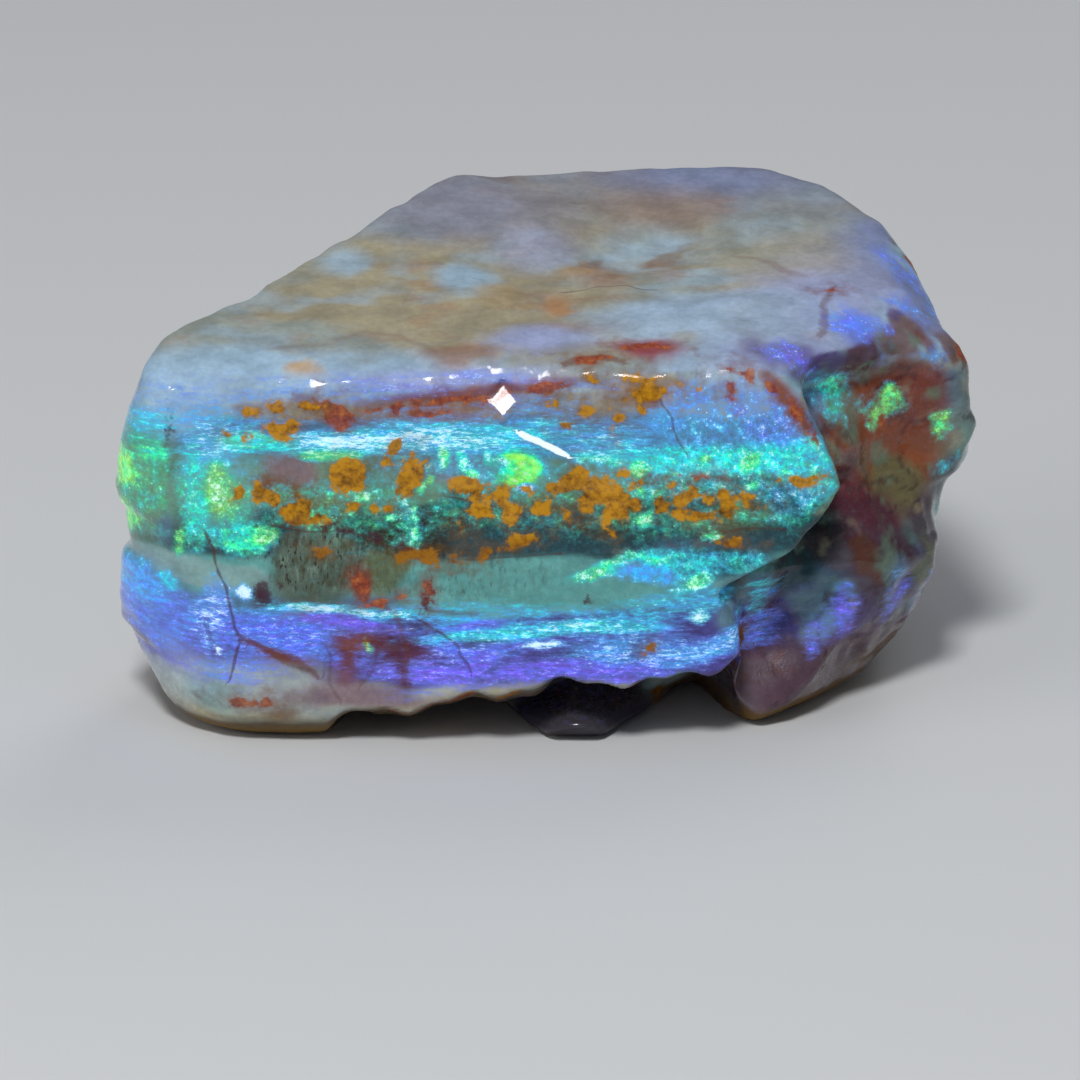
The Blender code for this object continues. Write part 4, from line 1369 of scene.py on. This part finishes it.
def paint_of(points, normals):
    """All the painted fields of the stone. Marks sit where x and z say; the fire and the body's own
    colours sit at places moved further, so that their edges wander more."""
    x = points[:, 0] + 0.20 * lumps(points, 0.9, SEED + 100, 3)
    z = points[:, 2] + 0.14 * lumps(points * np.array([0.5, 0.5, 1.0]), 0.8, SEED + 110, 3)
    fire_place = wavy(points, x, z, (0.45, 0.22), (1.9, 1.4), (102, 106))
    body_place = wavy(points, x, z, (0.75, 0.34), (2.4, 1.7), (160, 164))
    top = ramp(over_top(points), *TOP_PAINT_FROM) * ramp(normals[:, 2], *TOP_FACING)
    under = ramp(-normals[:, 2], *UNDER_FACING) * ramp(UNDER_END - points[:, 2], 0.0, 1.0)
    front = front_share(points) * (1.0 - under)
    shares = (front, top, under)
    return {
        "body": body_colour(points, *body_place, shares),
        "fire": play_of_colour(points, *fire_place, shares),
        "marks": marks(points, x, z, shares),
        "skin": finish_of_skin(points, x, z, shares),
        "veins": veins(points, x, z, shares),
        "painted_highlight": painted_highlight_line(points, front),
    }


# Hues of the fire from violet to yellow: of its bright grains, and of the soft haze between them
FIRE_HUES = (
    (0.00, linear(128, 92, 255)),
    (0.18, linear(86, 112, 255)),
    (0.38, linear(48, 176, 255)),
    (0.55, linear(30, 238, 236)),
    (0.68, linear(48, 250, 160)),
    (0.84, linear(150, 255, 96)),
    (1.00, linear(240, 232, 90)),
)
HAZE_HUES = (
    (0.00, linear(108, 98, 206)),
    (0.18, linear(96, 126, 222)),
    (0.38, linear(84, 160, 222)),
    (0.55, linear(62, 190, 204)),
    (0.68, linear(66, 190, 150)),
    (0.84, linear(126, 204, 104)),
    (1.00, linear(196, 186, 84)),
)

# Colours that the material lays on, as light values
FLARE_WHITE = (0.72, 0.93, 1.0, 1.0)
# Colour of the painted white highlight line, and of its painted glow
HIGHLIGHT_LINE_WHITE = (0.80, 0.96, 1.0, 1.0)
HIGHLIGHT_LINE_GLOW = (0.9, 1.0, 1.0, 1.0)
SPARK_WHITE = (0.8, 1.0, 1.0, 1.0)
BRUSH_DARK = (0.060, 0.058, 0.028, 1.0)
BRUSH_PALE = (0.20, 0.29, 0.22, 1.0)
TICK_DARK = (0.030, 0.016, 0.010, 1.0)
RUST_STAIN = (0.20, 0.055, 0.030, 1.0)
OCHRE_STAIN = (0.17, 0.085, 0.022, 1.0)
LOW_OCHRE = (0.20, 0.062, 0.004, 1.0)
FINE_VEIN = (0.070, 0.024, 0.022, 1.0)
BROAD_VEIN = (0.13, 0.036, 0.018, 1.0)
SPECK = (0.048, 0.010, 0.026, 1.0)
RUST_STOPS = ((0.3, (0.10, 0.014, 0.011)), (0.5, (0.30, 0.056, 0.022)), (0.7, (0.50, 0.155, 0.035)))
OCHRE_STOPS = ((0.25, (0.10, 0.035, 0.001)), (0.42, (0.33, 0.135, 0.001)), (0.62, (0.56, 0.255, 0.002)))
# Ochre turns browner from the first of these heights down to the second
LOW_OCHRE_Z = (7.6, 7.0)
# How strongly the fire's painted glow shows, and the coat, the stone and the grain of its surface under it
PAINTED_GLOW_STRENGTH = 0.34
COAT_ROUGHNESS = 0.06
COAT_IOR = 1.36
SPECULAR_LEVEL = 0.2
OPAL_IOR = 1.45
BUMP_STRENGTH = 0.5
BUMP_HEIGHT = 0.03


def opal_material():
    """Potch with fire in it: each grain of the fire takes its own hue and brightness, marks are laid
    over it with ragged edges, a painted glow and a line of painted white highlight are laid on, and a
    clear wet coat lies over all."""
    material = bpy.data.materials.new("opal")
    material.use_nodes = True
    tree = material.node_tree
    shader = tree.nodes["Principled BSDF"]

    def make(kind, **values):
        made = tree.nodes.new(kind)
        for name, value in values.items():
            setattr(made, name, value)
        return made

    def feed(socket, value):
        if isinstance(value, bpy.types.NodeSocket):
            tree.links.new(value, socket)
        else:
            socket.default_value = value

    def maths(operation, *values, clamp=False):
        made = make("ShaderNodeMath", operation=operation, use_clamp=clamp)
        for socket, value in zip(made.inputs, values):
            feed(socket, value)
        return made.outputs[0]

    def times(first, second):
        return maths("MULTIPLY", first, second)

    def most(first, second):
        return maths("MAXIMUM", first, second)

    def times_plus(value, factor, base):
        return maths("MULTIPLY_ADD", value, factor, base)

    def centred(value):
        return maths("SUBTRACT", value, 0.5)

    def stretch(value, low, high, to_low=0.0, to_high=1.0):
        made = make("ShaderNodeMapRange", interpolation_type="SMOOTHSTEP")
        for socket, given in zip(made.inputs, (value, low, high, to_low, to_high)):
            feed(socket, given)
        return made.outputs[0]

    def blend(share, first, second):
        made = make("ShaderNodeMix", data_type="RGBA")
        feed(made.inputs["Factor"], share)
        feed(made.inputs[6], first)
        feed(made.inputs[7], second)
        return made.outputs[2]

    def brightened(colour, amount):
        made = make("ShaderNodeVectorMath", operation="SCALE")
        feed(made.inputs[0], colour)
        feed(made.inputs["Scale"], amount)
        return made.outputs[0]

    def field(name):
        made = make("ShaderNodeAttribute", attribute_name=name)
        apart = make("ShaderNodeSeparateXYZ")
        feed(apart.inputs[0], made.outputs["Vector"])
        return apart.outputs

    place = make("ShaderNodeTexCoord").outputs["Object"]

    def pattern(kind, counts):
        """A texture with this many waves or cells per millimetre along X, Y and Z."""
        mapping = make("ShaderNodeMapping")
        feed(mapping.inputs["Vector"], place)
        mapping.inputs["Scale"].default_value = [count / MM for count in counts]
        made = make(kind)
        feed(made.inputs["Vector"], mapping.outputs[0])
        made.inputs["Scale"].default_value = 1.0
        return made

    def grain(x, y, z, detail, roughness=0.6):
        made = pattern("ShaderNodeTexNoise", (x, y, z))
        made.inputs["Detail"].default_value = detail
        made.inputs["Roughness"].default_value = roughness
        return made.outputs["Fac"]

    def cells(x, y, z):
        made = pattern("ShaderNodeTexVoronoi", (x, y, z))
        apart = make("ShaderNodeSeparateColor")
        feed(apart.inputs[0], made.outputs["Color"])
        return made.outputs["Distance"], apart.outputs

    def colours(stops, value):
        made = make("ShaderNodeValToRGB")
        elements = made.color_ramp.elements
        while len(elements) < len(stops):
            elements.new(0.5)
        for element, (at, colour) in zip(elements, stops):
            element.position = at
            element.color = (*colour, 1.0)
        feed(made.inputs[0], value)
        return made.outputs[0]

    body = make("ShaderNodeAttribute", attribute_name="body").outputs["Color"]
    hue, power, flare = field("fire")
    ochre, rust, dark = field("marks")
    streak, tick, wet = field("skin")
    vein_off, vein_near, vein_half = field("veins")
    highlight_off, highlight_near = field("painted_highlight")[:2]

    def either(grains, streaks):
        """The first pattern where the fire is grained, the second where it is streaked."""
        made = make("ShaderNodeMix", data_type="FLOAT")
        feed(made.inputs[0], streak)
        feed(made.inputs[2], grains)
        feed(made.inputs[3], streaks)
        return centred(made.outputs[0])

    fine = grain(4.0, 4.0, 4.0, 4.0)
    tiny = grain(9.0, 9.0, 20.0, 3.0)
    broad = grain(0.7, 0.7, 1.2, 4.0)
    brushed = grain(5.0, 5.0, 0.6, 3.0)
    ticks = grain(7.0, 7.0, 1.0, 3.0)
    tiny_off = centred(tiny)
    fine_off = centred(fine)
    middling_off = centred(grain(1.8, 1.8, 2.0, 4.0))
    cloud = either(grain(1.5, 1.5, 2.0, 5.0), grain(0.9, 0.9, 5.0, 5.0))
    other_cloud = either(grain(2.2, 2.2, 2.6, 3.0), grain(1.2, 1.2, 8.0, 3.0))
    crisp = either(grain(4.0, 4.0, 4.6, 5.0, 0.8), grain(3.0, 3.0, 11.0, 5.0, 0.85))
    crumbs, crumb_random = cells(7.0, 7.0, 8.0)

    # The stone's own colour, and over it the fire's soft haze in clouds
    alive = stretch(power, 0.02, 0.25)
    strength = times(times_plus(cloud, 1.3, power), alive)
    own_hue = times_plus(other_cloud, 0.42, hue)
    haze = colours(HAZE_HUES, own_hue)
    hazy = stretch(times_plus(crisp, 1.1, strength), -0.05, 0.80, 0.0, 0.92)
    hazy = times(hazy, stretch(crisp, -0.16, 0.04, 0.55, 1.0))
    hazy = times(hazy, stretch(power, -0.06, 0.12))
    shade = times(stretch(broad, 0.25, 0.75, 0.80, 1.15), stretch(fine, 0.3, 0.7, 0.92, 1.06))
    surface = blend(hazy, brightened(body, shade), haze)

    # Brighter grains that crowd where the fire is strong, some flared to white
    lit = times_plus(tiny_off, 0.7, times_plus(crisp, 3.0, strength))
    lit = times(stretch(lit, 0.42, 1.15), alive)
    glint = colours(FIRE_HUES, times_plus(crisp, 0.26, own_hue))
    glint = brightened(glint, stretch(times_plus(cloud, 1.0, fine), 0.25, 0.75, 0.60, 1.10))
    flared = times_plus(flare, times_plus(cloud, 2.0, 0.9), times(crisp, 2.8))
    glint = blend(stretch(flared, 0.22, 0.75, 0.0, 0.9), glint, FLARE_WHITE)
    surface = blend(times(lit, 0.9), surface, glint)

    # The painted white highlight line along the crest, and single sparks
    painted_highlight = times_plus(fine_off, 0.10, maths("ABSOLUTE", highlight_off))
    painted_highlight = times(stretch(painted_highlight, 0.15, 0.08), highlight_near)
    surface = blend(painted_highlight, surface, HIGHLIGHT_LINE_WHITE)
    spark = times(stretch(crumbs, 0.30, 0.08), stretch(crumb_random[0], 0.80, 0.92))
    spark = times(spark, stretch(strength, 0.12, 0.55))
    spark = times(spark, stretch(streak, 0.0, 1.0, 1.0, 0.35))
    spark_hue = times_plus(centred(crumb_random[1]), 0.3, hue)
    spark_colour = blend(0.5, colours(FIRE_HUES, spark_hue), SPARK_WHITE)
    surface = blend(spark, surface, spark_colour)

    # Upright streaks of the brushed potch
    surface = blend(times(stretch(brushed, 0.50, 0.62), times(tick, 0.7)), surface, BRUSH_DARK)
    surface = blend(times(stretch(brushed, 0.46, 0.34), times(tick, 0.6)), surface, BRUSH_PALE)
    surface = blend(times(stretch(ticks, 0.58, 0.66), times(tick, 0.9)), surface, TICK_DARK)

    # Rust, veins, ochre and dark specks, each with a stain round it or a ragged edge
    ragged = times_plus(middling_off, 0.8, times(fine_off, 0.32))
    ragged = times_plus(tiny_off, 0.12, ragged)
    stain = stretch(times_plus(middling_off, 1.6, rust), -0.5, 0.1, 0.0, 0.45)
    surface = blend(stain, surface, RUST_STAIN)
    vein = maths("DIVIDE", maths("SUBTRACT", vein_half, maths("ABSOLUTE", vein_off)), vein_half)
    vein = times_plus(fine_off, 3.0, times_plus(middling_off, 2.0, vein))
    vein_mask = times(stretch(vein, -0.8, 0.7), vein_near)
    vein_colour = blend(stretch(vein_half, 0.04, 0.09), FINE_VEIN, BROAD_VEIN)
    surface = blend(times(vein_mask, 0.9), surface, vein_colour)
    rust_mask = stretch(maths("ADD", rust, ragged), -0.04, 0.09)
    surface = blend(times(rust_mask, 0.85), surface, colours(RUST_STOPS, fine))
    stain = stretch(times_plus(middling_off, 1.6, ochre), -0.45, 0.05, 0.0, 0.42)
    surface = blend(stain, surface, OCHRE_STAIN)
    lumpy = times_plus(middling_off, 0.9, times(fine_off, 0.14))
    ochre_mask = stretch(maths("ADD", ochre, lumpy), -0.07, 0.05)
    ochre_shade = times_plus(centred(broad), 0.8, times_plus(middling_off, 0.4, fine))
    stood = make("ShaderNodeSeparateXYZ")
    feed(stood.inputs[0], place)
    low_down = stretch(stood.outputs["Z"], LOW_OCHRE_Z[0] * MM, LOW_OCHRE_Z[1] * MM, 0.0, 0.6)
    ochre_colour = blend(low_down, colours(OCHRE_STOPS, ochre_shade), LOW_OCHRE)
    surface = blend(times(ochre_mask, 0.95), surface, ochre_colour)
    dark_mask = stretch(maths("ADD", dark, times(ragged, 1.7)), -0.10, 0.20)
    surface = blend(times(dark_mask, 0.8), surface, SPECK)
    feed(shader.inputs["Base Color"], surface)

    # Painted glow: emission that makes the fire and the highlight line shine as if lit, where no mark
    # covers it
    covered = most(most(ochre_mask, rust_mask), most(dark_mask, vein_mask))
    bare = maths("SUBTRACT", 1.0, covered)
    cover = times(most(lit, spark), bare)
    haze_painted_glow = brightened(haze, times(times(hazy, bare), 0.7))
    painted_glow = blend(cover, haze_painted_glow, blend(spark, glint, spark_colour))
    feed(shader.inputs["Emission Color"], blend(painted_highlight, painted_glow, HIGHLIGHT_LINE_GLOW))
    shader.inputs["Emission Strength"].default_value = PAINTED_GLOW_STRENGTH

    # The wet coat, duller on the skin and on marks, over a fine grain
    wetness = stretch(times_plus(middling_off, 1.2, wet), 0.40, 0.75)
    rough = times_plus(covered, 0.22, stretch(wet, 0.0, 1.0, 0.62, 0.26))
    rough = maths("MULTIPLY_ADD", fine_off, 0.25, rough, clamp=True)
    feed(shader.inputs["Roughness"], rough)
    feed(shader.inputs["Coat Weight"], times(wetness, times_plus(covered, -0.4, 0.95)))
    shader.inputs["Coat Roughness"].default_value = COAT_ROUGHNESS
    shader.inputs["Coat IOR"].default_value = COAT_IOR
    shader.inputs["Specular IOR Level"].default_value = SPECULAR_LEVEL
    shader.inputs["IOR"].default_value = OPAL_IOR
    height = times_plus(fine, 0.6, times(tiny, 0.35))
    height = times_plus(times(crisp, cover), 0.6, height)
    height = times_plus(covered, times(fine, 0.4), height)
    bump = make("ShaderNodeBump")
    bump.inputs["Strength"].default_value = BUMP_STRENGTH
    bump.inputs["Distance"].default_value = BUMP_HEIGHT * MM
    feed(bump.inputs["Height"], height)
    feed(shader.inputs["Normal"], bump.outputs[0])
    return material


def opal_mesh():
    """The grid of quads between its two poles, with the painted fields on its points."""
    points = small_forms(points_of_grid())
    points[:, 2] = np.maximum(points[:, 2], 0.0)
    quads, base_fan, top_fan = grid_faces()
    fans = np.concatenate([base_fan, top_fan])
    mesh = bpy.data.meshes.new("opal_stone")
    mesh.from_pydata((points * MM).tolist(), [], quads.tolist() + fans.tolist())
    fields = paint_of(points, outward_normals(points, quads, fans))
    for name, values in fields.items():
        layer = mesh.attributes.new(name, "FLOAT_VECTOR", "POINT")
        layer.data.foreach_set("vector", values.astype(np.float32).ravel())
    mesh.shade_smooth()
    return mesh


stone_mesh = opal_mesh()
stone_mesh.materials.append(opal_material())
opal = bpy.data.objects.new("opal_stone", stone_mesh)
bpy.context.scene.collection.objects.link(opal)
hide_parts("rough_opal")
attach(opal, "root")

# ---------------------------------------------------------------------------------------------
# The floor. A pale matt board, wide enough to fill the view; it isn't part of the stone.
# ---------------------------------------------------------------------------------------------

FLOOR_HALF = 0.8
FLOOR_CELLS = 8
FLOOR_GREY = (0.68, 0.69, 0.70, 1.0)
FLOOR_ROUGHNESS = 0.6

across = np.linspace(-FLOOR_HALF, FLOOR_HALF, FLOOR_CELLS + 1)
floor_x, floor_y = np.meshgrid(across, across)
floor_points = np.stack([floor_x.ravel(), floor_y.ravel(), np.zeros(floor_x.size)], axis=1)
first = (np.arange(FLOOR_CELLS)[:, None] * (FLOOR_CELLS + 1) + np.arange(FLOOR_CELLS)).ravel()
floor_quads = np.stack([first, first + 1, first + FLOOR_CELLS + 2, first + FLOOR_CELLS + 1], axis=1)
floor_mesh = bpy.data.meshes.new("floor")
floor_mesh.from_pydata(floor_points.tolist(), [], floor_quads.tolist())

floor_material = bpy.data.materials.new("pale_board")
floor_material.use_nodes = True
floor_shader = floor_material.node_tree.nodes["Principled BSDF"]
floor_shader.inputs["Base Color"].default_value = FLOOR_GREY
floor_shader.inputs["Roughness"].default_value = FLOOR_ROUGHNESS
floor_mesh.materials.append(floor_material)
floor = bpy.data.objects.new("floor", floor_mesh)
bpy.context.scene.collection.objects.link(floor)

# ---------------------------------------------------------------------------------------------
# The light. A soft key above the front, a fill from the left and a weak one from behind. Only the key
# is mirrored in the wet gloss.
# ---------------------------------------------------------------------------------------------

WORLD_LIGHT = (0.62, 0.65, 0.70)
WORLD_STRENGTH = 0.25
# Each lamp's place, size and power
LAMPS = {
    "key": ((-0.05, -0.22, 0.34), 0.08, 0.95),
    "left fill": ((-0.36, -0.16, 0.16), 0.22, 0.35),
    "back fill": ((0.16, 0.30, 0.26), 0.22, 0.35),
}
LAMP_AIM = (0.0, 0.0, 0.008)


def aimed(place, target):
    """The turn that points a lamp's or camera's -Z from place to target, with its X level."""
    away = np.array(place) - np.array(target)
    tilt = np.arctan2(np.hypot(away[0], away[1]), away[2])
    return tilt, 0.0, np.arctan2(away[0], -away[1])


for name, (place, size, watts) in LAMPS.items():
    lamp_data = bpy.data.lights.new(name, "AREA")
    lamp_data.size = size
    lamp_data.energy = watts
    lamp = bpy.data.objects.new(name, lamp_data)
    lamp.location = place
    lamp.rotation_euler = aimed(place, LAMP_AIM)
    lamp.visible_glossy = name == "key"
    bpy.context.scene.collection.objects.link(lamp)

world = bpy.data.worlds.new("room")
world.use_nodes = True
background = world.node_tree.nodes["Background"]
background.inputs["Color"].default_value = (*WORLD_LIGHT, 1.0)
background.inputs["Strength"].default_value = WORLD_STRENGTH
bpy.context.scene.world = world
bpy.context.scene.view_settings.view_transform = "Standard"

# ---------------------------------------------------------------------------------------------
# The camera. A long lens in front of the stone, 19 degrees above the table.
# ---------------------------------------------------------------------------------------------

CAMERA_TARGET = (-0.00035, -0.00818, 0.007)
CAMERA_DISTANCE = 0.2
CAMERA_RISE = 19.0
CAMERA_LENS = 186.67
CAMERA_SENSOR = 36.0
CAMERA_NEAR = 0.01

rise = np.radians(CAMERA_RISE)
camera_data = bpy.data.cameras.new("camera")
camera_data.lens = CAMERA_LENS
camera_data.sensor_width = CAMERA_SENSOR
camera_data.clip_start = CAMERA_NEAR
camera = bpy.data.objects.new("camera", camera_data)
camera.location = (
    CAMERA_TARGET[0],
    CAMERA_TARGET[1] - CAMERA_DISTANCE * np.cos(rise),
    CAMERA_TARGET[2] + CAMERA_DISTANCE * np.sin(rise),
)
camera.rotation_euler = aimed(camera.location, CAMERA_TARGET)
bpy.context.scene.collection.objects.link(camera)
bpy.context.scene.camera = camera
